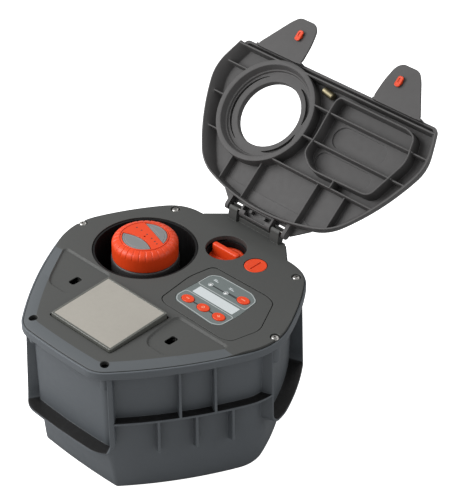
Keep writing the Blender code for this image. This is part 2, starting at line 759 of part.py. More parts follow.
def build_well_cup():
    outer, inner, top = WELL_RADIUS - 0.5, WELL_RADIUS - 2.6, DECK_Z - 1.0
    cup = revolve(HEAD, [(outer, WELL_FLOOR), (outer, top), (inner, top),
                         (inner, WELL_FLOOR + 2.4)], 36)
    drill(cup, HEAD, RISER_RADIUS + 0.6, 24, z0=WELL_FLOOR - 5, z1=WELL_FLOOR + 10)
    finish(cup, "well_cup", "black_plastic")


def duct(head_offset, filter_offset, half_width, half_height, count):
    """Oval bar between the head's cup and the filter housing."""
    ends = ((HEAD_X + head_offset, HEAD_Y + head_offset),
            (FILTER_X - filter_offset, FILTER_Y - filter_offset))
    return loft([[(x + half_width * c, y - half_width * c, INLET_Z + half_height * s)
                  for c, s in circle((0, 0), 1, count)] for x, y in ends])


def build_water_body():
    """Cup under the head and filter housing, joined by a duct and bored through."""
    body = revolve(HEAD, [(BODY_RADIUS, 12.0), (BODY_RADIUS, WELL_FLOOR - 0.4),
                          (BODY_BORE, WELL_FLOOR - 0.4), (BODY_BORE, 15.0)], 24)
    housing = revolve(FILTER, HOUSING, 20)
    add(body, duct(12, 7, 3.5, 6, 12))
    add(body, housing)
    drill(body, HEAD, BODY_BORE, 24, z0=15.0, z1=140)
    drill(body, FILTER, 8.8, 20, z0=48.0, z1=80)
    cut(body, duct(17, 5, 2.2, 4, 10))
    cut(body, cylinder_y((INLET_X, INLET_Z), 6.0, FILTER_Y + 3, FILTER_Y + 30, 12))
    finish(body, "water_body", "black_plastic")


def build_inlet_nipple():
    """Ring along Y through the rear wall, with three thread grooves."""
    bore, crest, root = 8.0, 13.2, 12.1
    front, rear, first_crest, pitch = 82.7, 98.6, 97.8, 3.1
    profile = [(bore, front), (bore, rear), (12.4, rear), (crest, first_crest)]
    for i in range(3):
        y = first_crest - pitch * i
        profile += [(crest, y - 0.9), (root, y - 1.5), (root, y - 1.7), (crest, y - 2.3)]
    profile.append((crest, front))
    angles = [2 * math.pi * i / 16 for i in range(16)]
    nipple = loft([[(INLET_X + r * math.sin(angle), y, INLET_Z + r * math.cos(angle))
                    for angle in angles] for r, y in profile], closed=True)
    finish(nipple, "inlet_nipple", "black_plastic")


def build_valve_drive():
    """Round motor on a square mount above the duct."""
    motor = revolve(VALVE, [(8.5, 72.8), (8.5, 86.0), (9.5, 86.3), (9.5, 93.4), (8.8, 94.2)], 16)
    finish(motor, "valve_motor", "bright_steel")
    finish(prism(rounded(VALVE, 10.0, 10.0, 3, 2), 67.4, 72.4), "valve_mount", "black_plastic")


def build_filter_cap():
    """Round cap with a tapered grip bar across it."""
    cap = revolve(FILTER, [(9.6, 120.0), (9.6, 134.2), (19.2, 134.6), (19.4, FILTER_CAP_Z + 4.5),
                           (18.4, FILTER_CAP_Z + 5.6)], 24)
    add(cap, loft([level(rounded(FILTER, 17.6, 3.6, 2.5, 3), FILTER_CAP_Z + 3),
                   level(rounded(FILTER, 17.4, 2.9, 2.4, 3), DECK_Z - 2.0),
                   level(rounded(FILTER, 16.4, 2.0, 1.6, 3), DECK_Z - 0.8)]))
    finish(cap, "filter_cap", "orange_plastic", axis=(*FILTER, FILTER_CAP_Z))


def build_filter_basket():
    basket = revolve(FILTER, [(8.3, 76.0), (8.3, 119.0), (7.0, 119.0), (7.0, 76.0)], 16,
                     closed=True)
    # two rows of four windows
    for low in (79.0, 99.0):
        for i in range(4):
            angle = math.pi / 4 + i * math.pi / 2
            centre = (FILTER_X + 8 * math.cos(angle), FILTER_Y + 8 * math.sin(angle))
            drill(basket, centre, 3.0, 6, z0=low, z1=low + 16)
    finish(basket, "filter_basket", "grey_insert", axis=(*FILTER, FILTER_CAP_Z))


def build_drain_plug():
    plug = revolve(PLUG, [(8.1, 139.0), (8.1, 151.1), (PLUG_RADIUS, 151.1),
                          (PLUG_RADIUS, DECK_Z - 0.5), (PLUG_RADIUS - 0.7, DECK_Z)], 22)
    cut(plug, box(PLUG_X - 0.7, PLUG_X + 0.7, PLUG_Y - 8.2, PLUG_Y + 8.2, DECK_Z - 1.6,
                  CUT_TOP))
    finish(plug, "drain_plug", "orange_plastic", axis=(*PLUG, DECK_Z))


# ================================================================== battery tray and cells
BATTERY_Y, BATTERY_PITCH, BATTERY_Z = -109.0, 17.0, 21.9


def build_battery_tray():
    tray = box(-38, 38, -122, -62, 12.0, 24.0)
    cut(tray, box(-36, 36, -120, -64, 14.0, 40.0))
    for x in (-30, 30):
        add(tray, cylinder((x, -92), 3.0, 4.2, 13.0, 10))
    finish(tray, "battery_tray", "black_plastic")


def build_batteries():
    for i in range(3):
        centre = (BATTERY_Y + BATTERY_PITCH * i, BATTERY_Z)
        cell = cylinder_x(centre, 7.2, -25.2, 23.5)
        add(cell, cylinder_x(centre, 2.6, 23.0, 25.0, 8))
        finish(cell, "battery_%d" % (i + 1), "battery_wrap")


# ================================================================== riser and its drive
SHAFT_RADIUS = 10.0
MODULE, GEAR_TEETH, PINION_TEETH = 1.4, 20, 10
PRESSURE_ANGLE = math.radians(20)
BACKLASH = 0.16
GEAR_LOW, GEAR_TOP = 124.5, 129.5
PINION_ANGLE = math.radians(-25.0)
PINION_DISTANCE = MODULE * (GEAR_TEETH + PINION_TEETH) / 2
PINION = (HEAD_X + PINION_DISTANCE * math.cos(PINION_ANGLE),
          HEAD_Y + PINION_DISTANCE * math.sin(PINION_ANGLE))


def build_riser_tube(slide):
    """Tube with a collar at the foot and a wide flange at the top."""
    collar, bore = 24.6, 15.0
    riser = revolve(HEAD, [(collar, RISER_LOW), (collar, RISER_LOW + 3.0),
                           (RISER_RADIUS, RISER_LOW + 3.2), (RISER_RADIUS, 108.8),
                           (28.6, 109.2), (28.6, 112.0), (bore, 112.0), (bore, RISER_LOW)],
                    24, closed=True)
    finish(riser, "riser_tube", "black_plastic", parent=slide)


def build_riser_spring(slide):
    radius, wire, turns, turn_steps, wire_sides = 22.6, 0.95, 5, 11, 5
    low, top = RISER_LOW + 4.6, WELL_FLOOR - 1.8
    steps = turns * turn_steps
    rings = []
    for k in range(steps + 1):
        a = 2 * math.pi * k / turn_steps
        x, y = HEAD_X + radius * math.cos(a), HEAD_Y + radius * math.sin(a)
        z = low + (top - low) * k / steps
        ring = []
        for j in range(wire_sides):
            b = 2 * math.pi * j / wire_sides
            out = wire * math.cos(b)
            ring.append((x + out * math.cos(a), y + out * math.sin(a), z + wire * math.sin(b)))
        rings.append(ring)
    finish(loft(rings), "riser_spring", "spring_steel", parent=slide, smooth=60)


def build_head_shaft(slide, turning):
    low, top = 92.0, CAP_LOW - 0.6
    shaft = revolve(HEAD, [(SHAFT_RADIUS, low), (SHAFT_RADIUS, top), (8.0, top), (8.0, low)],
                    18, closed=True)
    finish(shaft, "head_shaft", "grey_insert", parent=turning)
    bush = revolve(HEAD, [(14.7, 90.0), (14.7, 108.0), (10.3, 108.0), (10.3, 90.0)], 18,
                   closed=True)
    finish(bush, "riser_bush", "grey_insert", parent=slide)


def involute(angle):
    return math.tan(angle) - angle


def gear_plan(centre, teeth, phase):
    """Involute gear outline with the middle of one tooth at the phase angle."""
    pitch = MODULE * teeth / 2
    base = pitch * math.cos(PRESSURE_ANGLE)
    tip, root = pitch + 0.72 * MODULE, pitch - 1.05 * MODULE
    half_tooth = math.pi / (2 * teeth) - BACKLASH / pitch
    polar = []
    for tooth in range(teeth):
        middle = phase + 2 * math.pi * tooth / teeth
        left, right = [], []
        for radius in (max(base, root) * 1.0001, pitch, tip):
            roll = math.acos(min(base / radius, 1.0))
            half = half_tooth + involute(PRESSURE_ANGLE) - involute(roll)
            left.append((radius, middle - half))
            right.append((radius, middle + half))
        polar.append((root, left[0][1]))
        polar += left[1:]
        polar += right[:0:-1]
        polar.append((root, right[0][1]))
    return [(centre[0] + r * math.cos(a), centre[1] + r * math.sin(a)) for r, a in polar]


def build_head_drive(slide, turning):
    """Gear on the head shaft, pinion and motor on the riser."""
    gear = prism(gear_plan(HEAD, GEAR_TEETH, PINION_ANGLE), GEAR_LOW, GEAR_TOP)
    drill(gear, HEAD, SHAFT_RADIUS + 0.3, 24, z0=GEAR_LOW - 2, z1=GEAR_TOP + 2)
    finish(gear, "drive_gear", "grey_insert", parent=turning)

    pinion_axis = pivot("pinion_axis", (*PINION, GEAR_LOW), parent=slide)
    # turned by half a tooth so that it meshes
    phase = PINION_ANGLE + math.pi + math.pi / PINION_TEETH
    pinion = prism(gear_plan(PINION, PINION_TEETH, phase), GEAR_LOW - 0.5, GEAR_TOP + 0.5)
    drill(pinion, PINION, 1.3, 10, z0=GEAR_LOW - 3, z1=GEAR_TOP + 3)
    finish(pinion, "drive_pinion", "brass", parent=pinion_axis)

    motor = revolve(PINION, [(7.2, 112.4), (7.2, 122.5), (1.0, 122.6), (1.0, GEAR_TOP + 1.0)], 18)
    finish(motor, "head_motor", "bright_steel", parent=slide)


# ================================================================== rotating head
SLEEVE_RADIUS = 34.0
SLEEVE_LOW = 104.0
CAP_RADIUS = 33.0
NOZZLE_ANGLE, NOZZLE_Z = math.radians(155.0), 136.5
# direction of each insert's middle in degrees, height of its inner edge from the head's axis
CAP_INSERTS = ((-90.0, 5.0), (72.5, 10.8))


def nozzle_bar(start, end, radius, count=14, end_radius=None):
    """Cylinder or cone along the nozzle's direction, start and end from the head's axis."""
    ca, sa = math.cos(NOZZLE_ANGLE), math.sin(NOZZLE_ANGLE)
    return loft([[(HEAD_X + q * ca - r * c * sa, HEAD_Y + q * sa + r * c * ca, NOZZLE_Z + r * s)
                  for c, s in circle((0, 0), 1, count)]
                 for q, r in ((start, radius), (end, end_radius or radius))])


def build_head_sleeve(turning):
    """Skirt with a flat top, pierced for the nozzle."""
    inner = SLEEVE_RADIUS - 2.4
    sleeve = revolve(HEAD, [(SLEEVE_RADIUS, SLEEVE_LOW), (SLEEVE_RADIUS, CAP_LOW - 0.9),
                            (SLEEVE_RADIUS - 0.6, CAP_LOW - 0.3), (10.4, CAP_LOW - 0.3),
                            (10.4, CAP_LOW - 3.0), (inner, CAP_LOW - 3.0),
                            (inner, SLEEVE_LOW)], 32, closed=True)
    cut(sleeve, nozzle_bar(20, 40, 4.2))
    finish(sleeve, "head_sleeve", "sleeve_plastic", parent=turning)


def build_spray_nozzle(turning):
    nozzle = nozzle_bar(10.3, 33.0, 3.7, end_radius=3.2)
    cut(nozzle, nozzle_bar(12.0, 40, 1.7, count=10))
    finish(nozzle, "spray_nozzle", "grey_insert", parent=turning)


def leaf(direction, radius, inner, half_degrees):
    """Plan between an arc near the cap's rim and a shallow bowed inner edge."""
    half = math.radians(half_degrees)
    angles = [-half + 2 * half * i / 10 for i in range(11)]
    points = [(radius * math.sin(t), radius * math.cos(t)) for t in angles]
    end_x, end_y = points[-1]
    for i in range(1, 6):
        t = i / 6
        points.append((end_x * (1 - 2 * t), end_y - (end_y - inner) * (1 - (2 * t - 1) ** 2)))
    turn = math.radians(direction - 90.0)
    return [(HEAD_X + x * math.cos(turn) - y * math.sin(turn),
             HEAD_Y + x * math.sin(turn) + y * math.cos(turn)) for x, y in points]


def build_head_cap(turning):
    """Orange cap with two recesses, a broad insert at the front and a slimmer one behind."""
    inner = CAP_RADIUS - 2.8
    cap = revolve(HEAD, [(CAP_RADIUS, CAP_LOW), (CAP_RADIUS, CAP_TOP - 2.6),
                         (CAP_RADIUS - 1.0, CAP_TOP - 0.8), (CAP_RADIUS - 2.6, CAP_TOP),
                         (1.2, CAP_TOP), (1.2, CAP_TOP - 3.2), (inner, CAP_TOP - 3.4),
                         (inner, CAP_LOW)], 36, closed=True)
    for number, (direction, edge) in enumerate(CAP_INSERTS, start=1):
        cut(cap, prism(leaf(direction, 22.6, edge - 0.4, 63.0), CAP_TOP - 1.5, CAP_TOP + 3))
        insert = prism(leaf(direction, 22.1, edge + 0.1, 61.0), CAP_TOP - 1.1, CAP_TOP - 0.1)
        finish(insert, "cap_insert_%d" % number, "grey_insert", parent=turning)
    finish(cap, "head_cap", "orange_plastic", parent=turning)


# ================================================================== lid, modelled shut
LID_LOW = DECK_Z + 0.6
LID_SHEET = DECK_Z + 15.0         # underside of the lid's top sheet
LID_TOP = DECK_Z + 17.4
LID_FRONT = -46.0
LID_EDGE = 0.4                    # inset of the lid's side from its outline
LID_WALL = 2.2
WALL_HEAD = LID_SHEET + 0.5       # inner walls end inside the sheet
RING_RADIUS = 54.0
LID_HOLE_RADIUS = 35.5
TAB_TOP = DECK_Z + 1.6

LID_CORNERS = [(-128.6, LID_FRONT), (128.6, LID_FRONT), (142.0, -6.0), (88.5, 91.0),
               (-88.5, 91.0), (-142.0, -6.0)]
LID_BULGE = (0.05, 0.5, 6.5, 17.0, 6.5, 0.5)
LID_ROUND = (6.0, 6.0, 26.0, 16.0, 16.0, 26.0)
LID_SIDE_STEPS = (1, 2, 5, 8, 5, 2)

LID_TAB = [(47.4, -43.2), (48.4, -66.0), (51.8, -82.0), (57.8, -88.0), (78.2, -88.0),
           (85.2, -80.3), (109.0, -43.2)]             # right side
SHROUD = [(14.5, -32.4), (102.0, -32.2), (112.5, -27.5), (119.4, -2.0), (103.0, 45.4),
          (28.0, 47.6), (10.2, 34.0), (12.6, 16.0), (10.6, -14.0), (10.9, -27.0)]
# low arcs round the head: start and end in degrees, radius
LID_ARCS = ((60, 215, 44.5), (-62, 28, 41.5))
# inner walls: direction, place on the other axis, start, end, raise of the lower edge
LID_WALLS = (
    ("x", -13.0, 11.6, 118.0, 1.6), ("x", -13.0, -8.6, 11.6, 0.0),
    ("x", -13.0, 117.0, 136.6, 0.0), ("x", 19.4, 12.0, 113.5, 1.6),
    ("x", 19.4, -3.4, 12.4, 0.0), ("x", 19.4, 112.4, 130.5, 0.0),
    ("x", 54.4, -21.0, 110.6, 0.0), ("y", -64.0, 66.2, 99.0, 0.0),
    ("y", -28.4, 59.2, 104.5, 0.0), ("y", 42.3, 54.0, 104.5, 0.0),
    ("y", 77.2, 54.0, 96.4, 0.0), ("y", 59.4, 46.6, 54.8, 0.0),
    ("x", -17.0, -134.6, -101.0, 0.0), ("x", 17.6, -132.2, -109.4, 0.0),
    ("x", 52.7, -111.4, -92.6, 0.0),
)


def lid_outline(inset):
    return outline(inset, LID_CORNERS, LID_BULGE, LID_ROUND, LID_SIDE_STEPS, 4)


def lid_tray():
    """Top sheet and outer wall."""
    edge = lid_outline(LID_EDGE)
    lid = loft([level(edge, LID_LOW), level(edge, LID_SHEET - 1.0),
                level(lid_outline(2.6), LID_TOP - 0.5), level(lid_outline(6.0), LID_TOP)])
    cut(lid, prism(lid_outline(LID_EDGE + LID_WALL), LID_LOW - 5, LID_SHEET))
    # the outer lip is short along the front, with a full wall behind it
    cut(lid, box(-160, 160, -60.0, -40.6, LID_LOW - 2, LID_LOW + 5.5))
    add(lid, box(-129.5, 129.5, -39.4, -37.4, LID_LOW, WALL_HEAD))
    return lid


def add_lock_tab(lid, side):
    """Flat tab ahead of the lid, joined to the lip, with the lock's hole."""
    add(lid, prism(soften(mirror_plan(LID_TAB, side), 5.0), DECK_Z - 1.2, TAB_TOP))
    add(lid, box(*across(side, 47.6, 108.8), -45.8, -43.6, DECK_Z - 1.1, LID_LOW + 7.0))
    drill(lid, (side * LOCK_X, LOCK_Y), 3.4, 16)


def add_head_ring(lid):
    """Ring wall round the head, the round window in it and two low arcs."""
    inner = RING_RADIUS - 2.0
    add(lid, revolve(HEAD, [(RING_RADIUS, LID_LOW), (RING_RADIUS, WALL_HEAD),
                            (inner, WALL_HEAD), (inner, LID_LOW)], 36, closed=True))
    drill(lid, HEAD, LID_HOLE_RADIUS, 36, z0=150, z1=190)
    for start, end, radius in LID_ARCS:
        outer_arc = arc(HEAD, radius + 0.8, radius + 0.8, start, end, 7)
        inner_arc = arc(HEAD, radius - 0.8, radius - 0.8, start, end, 7)
        add(lid, prism(outer_arc + inner_arc[::-1], LID_SHEET - 5.0, WALL_HEAD))


def control_shroud():
    """Wall round the control plate."""
    shroud = prism(soften(SHROUD, 7.0), LID_LOW, WALL_HEAD)
    cut(shroud, prism(soften(grown(SHROUD, -2.0), 6.0), LID_LOW - 3, LID_SHEET + 3))
    return shroud


def add_inner_walls(lid):
    for direction, place, start, end, lift in LID_WALLS:
        length, thickness = (start, end), (place - 0.9, place + 0.9)
        plan = (*length, *thickness) if direction == "x" else (*thickness, *length)
        add(lid, box(*plan, LID_LOW + lift, WALL_HEAD))


def hinge_lug(x0, x1, front):
    """Plate from the lid's sheet, rounded about the hinge axis."""
    profile = [(front, LID_SHEET + 1.0), (front, HINGE_Z - 4.6)]
    profile += arc((HINGE_Y, HINGE_Z), 4.6, 4.6, -90, 90, 8)
    return prism_x(profile, x0, x1)


def add_hinge_lugs(lid):
    """One open box in the middle and one plate at each end."""
    middle = hinge_lug(-20.5, 20.5, 106.0)
    low, top = HINGE_Z - 9, HINGE_Z + 2.6
    cut(middle, box(-18.4, 18.4, 108.6, 113.2, low, top))
    cut(middle, box(-14.0, 14.0, 112.0, 117.2, low, top))
    add(lid, middle)
    for side in (1, -1):
        add(lid, hinge_lug(*across(side, 36.6, 40.6), 103.2))
        cut(lid, cylinder_x((HINGE_Y, HINGE_Z), 2.0, *across(side, 14.6, 39.4), 12))
        # room for the deck's hook
        cut(lid, box(*across(side, 22.4, 34.8), 107.9, 125.0, HINGE_Z - 12, HINGE_Z + 12))


def finish_on_lid(obj, name, finish_name, lid_axis, axis=HINGE):
    """Finish a piece modelled shut and move it into the open lid's frame."""
    finish(obj, name, finish_name, axis=axis)
    obj.location = obj.location - Vector(HINGE) * METRES_PER_MM
    obj.parent = lid_axis


def build_lid_shell(lid_axis):
    lid = lid_tray()
    for side in (1, -1):
        add_lock_tab(lid, side)
    add_head_ring(lid)
    add(lid, control_shroud())
    add_inner_walls(lid)
    add_hinge_lugs(lid)
    finish_on_lid(lid, "lid_shell", "lid_plastic", lid_axis)


def build_hinge_pin(side, side_name, lid_axis):
    pin = cylinder_x((HINGE_Y, HINGE_Z), 1.9, *across(side, 15.0, 39.0))
    finish_on_lid(pin, "hinge_pin_" + side_name, "bright_steel", lid_axis)


def build_lid_lock(side, side_name, lid_axis):
    """Round head with a grip bar, a stem through the tab and an oblong slotted foot."""
    x, y = centre = (side * LOCK_X, LOCK_Y)
    lock = cylinder(centre, 6.6, TAB_TOP + 0.3, TAB_TOP + 2.4, 16)
    add(lock, cylinder(centre, 3.0, DECK_Z - 4.0, TAB_TOP + 1.5, 12))
    add(lock, prism(rounded(centre, 1.3, 5.6, 1.0, 2), TAB_TOP + 2.0, TAB_TOP + 4.6))
    foot = rounded(centre, 3.3, 5.7, 2.4, 3)
    add(lock, loft([level(rounded(centre, 2.8, 5.2, 2.2, 3), DECK_Z - 4.5),
                    level(foot, DECK_Z - 4.1), level(foot, DECK_Z - 3.1)]))
    cut(lock, box(x - 0.9, x + 0.9, y - 3.6, y + 3.6, DECK_Z - 6.0, DECK_Z - 3.9))
    finish_on_lid(lock, "lid_lock_" + side_name, "orange_plastic", lid_axis,
                  axis=(x, y, TAB_TOP))


def build_lid_magnet(lid_axis):
    """Short bar under the sheet, turned a little about Z."""
    magnet = cylinder_x((0, 0), 3.9, -7.5, 7.5)
    place = Vector((-6.3, -31.4, LID_SHEET - 4.3)) * METRES_PER_MM
    magnet.data.transform(Matrix.Translation(place) @ Matrix.Rotation(math.radians(10), 4, "Z"))
    finish_on_lid(magnet, "lid_magnet", "brass", lid_axis)


# ================================================================== assembly
def build_head():
    """Everything that rises with the riser, and the head that turns on it."""
    slide = pivot("popup_axis", (*HEAD, WELL_FLOOR))
    build_riser_tube(slide)
    build_riser_spring(slide)
    turning = pivot("head_axis", (*HEAD, CAP_LOW), parent=slide)
    build_head_shaft(slide, turning)
    build_head_sleeve(turning)
    build_spray_nozzle(turning)
    build_head_drive(slide, turning)
    build_head_cap(turning)


def build_lid():
    lid_axis = pivot("lid_axis", HINGE, turn=-LID_OPEN_ANGLE)
    build_lid_shell(lid_axis)
    for side, side_name in ((-1, "left"), (1, "right")):
        build_hinge_pin(side, side_name, lid_axis)
        build_lid_lock(side, side_name, lid_axis)
    build_lid_magnet(lid_axis)


build_base_tub()
build_deck_seal()
build_deck_plate()
build_deck_screws()
build_solar_window()
build_control_plate()
build_control_label()
build_buttons()
build_led_pipes()
build_circuit_board()
build_well_cup()
build_water_body()
build_inlet_nipple()
build_valve_drive()
build_filter_cap()
build_filter_basket()
build_drain_plug()
build_battery_tray()
build_batteries()
build_head()
build_lid()
bpy.context.view_layer.update()
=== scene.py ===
"""Looks of an irrigation controller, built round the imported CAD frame.

The tub stands on z = 0, front towards -y and right towards +x. A deck at DECK_Z closes it, with
the sprinkler head on the left, the control panel on the right and the solar sheet at the front.
The lid is modelled shut, then turned open about its hinge at the back.
Shapes are in millimetres in the frame's own axes; solid() scales them to metres.
"""

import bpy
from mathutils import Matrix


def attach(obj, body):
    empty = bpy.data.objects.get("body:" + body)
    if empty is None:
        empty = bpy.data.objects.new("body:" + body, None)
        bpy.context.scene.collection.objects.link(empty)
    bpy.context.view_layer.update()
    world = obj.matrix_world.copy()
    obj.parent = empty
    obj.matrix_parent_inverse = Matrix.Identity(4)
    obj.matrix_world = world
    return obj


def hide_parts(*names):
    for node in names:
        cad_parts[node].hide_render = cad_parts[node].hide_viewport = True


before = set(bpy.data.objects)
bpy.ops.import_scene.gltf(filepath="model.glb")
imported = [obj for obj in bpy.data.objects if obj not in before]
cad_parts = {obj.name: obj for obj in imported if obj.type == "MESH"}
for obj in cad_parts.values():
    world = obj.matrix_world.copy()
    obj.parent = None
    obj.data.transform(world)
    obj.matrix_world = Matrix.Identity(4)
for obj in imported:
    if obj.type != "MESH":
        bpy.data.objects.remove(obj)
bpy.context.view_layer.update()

import math
from functools import cached_property

import bmesh
import bpy
from mathutils import Matrix, Vector

MM = 0.001
SCENE = bpy.context.scene
SIDES = (1, -1)  # right, left

# ------------------------------------------------------------------ driving dimensions (mm)
# heights of the deck and of the tub's rim
DECK_Z, RIM_TOP, RIM_LOW, LEDGE_Z = 155.0, 152.4, 144.0, 148.6
DECK_LOW = LEDGE_Z + 1.9

# six-sided plan, anticlockwise from the front left corner; side k runs from corner k to k + 1
RIM_CORNERS = ((-51.0, -152.2), (51.0, -152.2), (142.0, -6.0), (84.0, 98.0), (-84.0, 98.0),
               (-142.0, -6.0))
RIM_BULGE = (1.7, 8.5, 6.0, 1.5, 6.0, 8.5)          # rise of each side over its chord
RIM_ROUND = (12.0, 12.0, 26.0, 22.0, 22.0, 26.0)    # run of each corner's rounding
RIM_STEPS = (6, 15, 12, 9, 12, 15)                  # segments along each side
CORNER_STEPS = 12

# tub wall: thickness, foot and top of the pockets, and wall insets for each side
WALL_T, POCKET_Z, FLANGE_Z, LEAN = 3.0, 53.5, 88.0, 3.4
WALL_TOP = (13.5, 10.5, 13.5, 10.5, 13.5, 10.5)
WALL_MID = (15.3, 11.8, 15.3, 11.8, 15.3, 11.8)
WALL_FOOT = (21.5, 14.8, 21.0, 14.8, 21.0, 14.8)
WALL_DEEP = (16.2, 13.0, 16.2, 13.0, 16.2, 13.0)

HEAD_X, HEAD_Y, WELL_R = -56.2, 14.0, 52.6
CAP_R, CAP_TOP, CAP_LOW = 33.0, DECK_Z + 13.5, DECK_Z - 7.6
SLEEVE_R, SLEEVE_LOW = 34.0, 104.0
NOZZLE_ANGLE, NOZZLE_Z, NOZZLE_R = math.radians(155.0), 136.5, 4.2
KNOB_X, KNOB_Y, KNOB_R, KNOB_Z = 1.3, 69.6, 20.7, 137.0
PLUG_X, PLUG_Y, PLUG_R = 42.2, 68.6, 11.4
LOCK_X, LOCK_Y = 66.0, -69.5
LOCK_ROOF = DECK_Z - 2.8
INLET_X, INLET_Z, INLET_R = 1.3, 61.0, 13.9
SCREWS = ((49.3, -137.2), (132.0, 0.0), (83.2, 82.4))  # right half: front, middle, back

SOLAR_W, SOLAR_D, SOLAR_Y = 81.8, 73.5, -86.0
SOLAR_FRONT_Z, SOLAR_BACK_Z = DECK_Z + 2.8, DECK_Z + 5.6

HINGE_Y, HINGE_Z, LID_OPEN = 114.75, DECK_Z + 11.1, 139.1
LID_LOW, LID_SHEET, LID_TOP, LID_FRONT = DECK_Z + 0.6, DECK_Z + 15.0, DECK_Z + 17.4, -46.0
RING_R, LID_HOLE_R = 54.0, 35.5

# control panel: keys (half width, half depth), light pipes and plan outlines
BUTTONS = ((33.4, -15.3), (53.8, -15.3), (74.2, -15.3), (73.2, 19.0))
BUTTON_A, BUTTON_B = 7.0, 5.2
LEDS = ((33.0, 15.8), (53.0, 15.8))
PANEL = [(14.1, -31.4), (9.4, 11.0), (14.6, 38.4), (85.5, 39.7), (96.0, 36.0), (115.2, -3.1),
         (107.5, -33.0), (98.5, -36.6), (22.0, -35.6)]
FILM = [(21.4, 7.0), (22.0, 27.0), (30.0, 32.5), (72.0, 33.2), (83.5, 27.0), (86.2, 0.0),
        (85.0, -23.5), (77.0, -28.0), (26.0, -25.0), (20.0, -18.0)]


# ------------------------------------------------------------------ solids
def link(ob):
    SCENE.collection.objects.link(ob)
    return ob


def tidy(mesh, weld=False):
    """Turn the normals outwards, first closing up coincident points if weld is set."""
    bm = bmesh.new()
    bm.from_mesh(mesh)
    if weld:
        bmesh.ops.remove_doubles(bm, verts=bm.verts, dist=3e-6)
        bmesh.ops.dissolve_degenerate(bm, edges=bm.edges, dist=2e-6)
    bmesh.ops.recalc_face_normals(bm, faces=bm.faces)
    bm.to_mesh(mesh)
    bm.free()


def solid(verts, faces):
    mesh = bpy.data.meshes.new("solid")
    mesh.from_pydata([(x * MM, y * MM, z * MM) for x, y, z in verts], [], faces)
    mesh.update()
    tidy(mesh)
    return link(bpy.data.objects.new("solid", mesh))


def loft(rings, closed=False):
    """Skin over equal rings; the ends are capped, or joined to each other if closed."""
    size, count = len(rings[0]), len(rings)
    faces = []
    for k in range(count if closed else count - 1):
        low, high = k * size, ((k + 1) % count) * size
        for i in range(size):
            j = (i + 1) % size
            faces.append((low + i, low + j, high + j, high + i))
    if not closed:
        faces.append(tuple(range(size - 1, -1, -1)))
        faces.append(tuple((count - 1) * size + i for i in range(size)))
    return solid([p for ring in rings for p in ring], faces)


def level(poly, z):
    return [(x, y, z) for x, y in poly]


def stack(plan, stations, closed=False):
    """Loft through plan(*sizes) at height z for each station (*sizes, z)."""
    return loft([level(plan(*sizes), z) for *sizes, z in stations], closed)


def prism(poly, z0, z1):
    return loft([level(poly, z0), level(poly, z1)])


def box(x0, x1, y0, y1, z0, z1):
    return prism([(x0, y0), (x1, y0), (x1, y1), (x0, y1)], z0, z1)


def oval(x, y, half_x, half_y, count=48):
    return [(x + half_x * math.cos(2 * math.pi * i / count),
             y + half_y * math.sin(2 * math.pi * i / count)) for i in range(count)]


def circle(x, y, radius, count):
    return oval(x, y, radius, radius, count)


def turned(x, y, profile, count, closed=False):
    """Turned solid about an upright axis; profile rows are (radius, z)."""
    return stack(lambda radius: circle(x, y, radius, count), profile, closed)


def cylinder(x, y, radius, z0, z1, count=48):
    return prism(circle(x, y, radius, count), z0, z1)


def along_x(poly, x0, x1):
    return loft([[(x, y, z) for y, z in poly] for x in (x0, x1)])


def rod(y, z, radius, x0, x1, count):
    return along_x(circle(y, z, radius, count), x0, x1)


def chamfered_rod(y, z, radius, x0, x1, count, chamfer):
    stations = ((x0, radius - chamfer), (x0 + chamfer, radius),
                (x1 - chamfer, radius), (x1, radius - chamfer))
    return loft([[(x, *p) for p in circle(y, z, size, count)] for x, size in stations])


def rounded(x0, x1, y0, y1, radius, steps=6):
    """Rectangle with round corners."""
    poly = []
    for x, y, start in ((x1 - radius, y0 + radius, -90), (x1 - radius, y1 - radius, 0),
                        (x0 + radius, y1 - radius, 90), (x0 + radius, y0 + radius, 180)):
        for i in range(steps + 1):
            angle = math.radians(start + 90 * i / steps)
            poly.append((x + radius * math.cos(angle), y + radius * math.sin(angle)))
    return poly


def curve(start, pull, end, steps):
    """Points of a quadratic curve from start to end, drawn towards pull."""
    return [tuple((1 - t) ** 2 * start + 2 * t * (1 - t) * pull + t * t * end)
            for t in (i / steps for i in range(steps + 1))]


def soften(poly, run, steps=7):
    """Polygon with its corners rounded over run mm of each side, or less on short sides."""
    out = []
    for i in range(len(poly)):
        corner = Vector(poly[i])
        to_last = Vector(poly[i - 1]) - corner
        to_next = Vector(poly[(i + 1) % len(poly)]) - corner
        reach = min(run, 0.45 * to_last.length, 0.45 * to_next.length)
        out += curve(corner + to_last.normalized() * reach, corner,
                     corner + to_next.normalized() * reach, steps)
    return out


def grown(poly, distance):
    """Polygon offset outwards, any winding."""
    area = sum(a[0] * b[1] - b[0] * a[1] for a, b in zip(poly, poly[1:] + poly[:1]))
    sign = 1.0 if area > 0 else -1.0
    out = []
    for i in range(len(poly)):
        corner = Vector(poly[i])
        edge_in = corner - Vector(poly[i - 1])
        edge_out = Vector(poly[(i + 1) % len(poly)]) - corner
        if edge_in.length < 1e-6 or edge_out.length < 1e-6:
            out.append(tuple(corner))
            continue
        edge_in, edge_out = edge_in.normalized(), edge_out.normalized()
        normal_in = Vector((edge_in.y, -edge_in.x)) * sign
        normal = normal_in + Vector((edge_out.y, -edge_out.x)) * sign
        normal = normal.normalized() if normal.length > 1e-6 else normal_in
        out.append(tuple(corner + normal * (distance / max(normal.dot(normal_in), 0.5))))
    return out


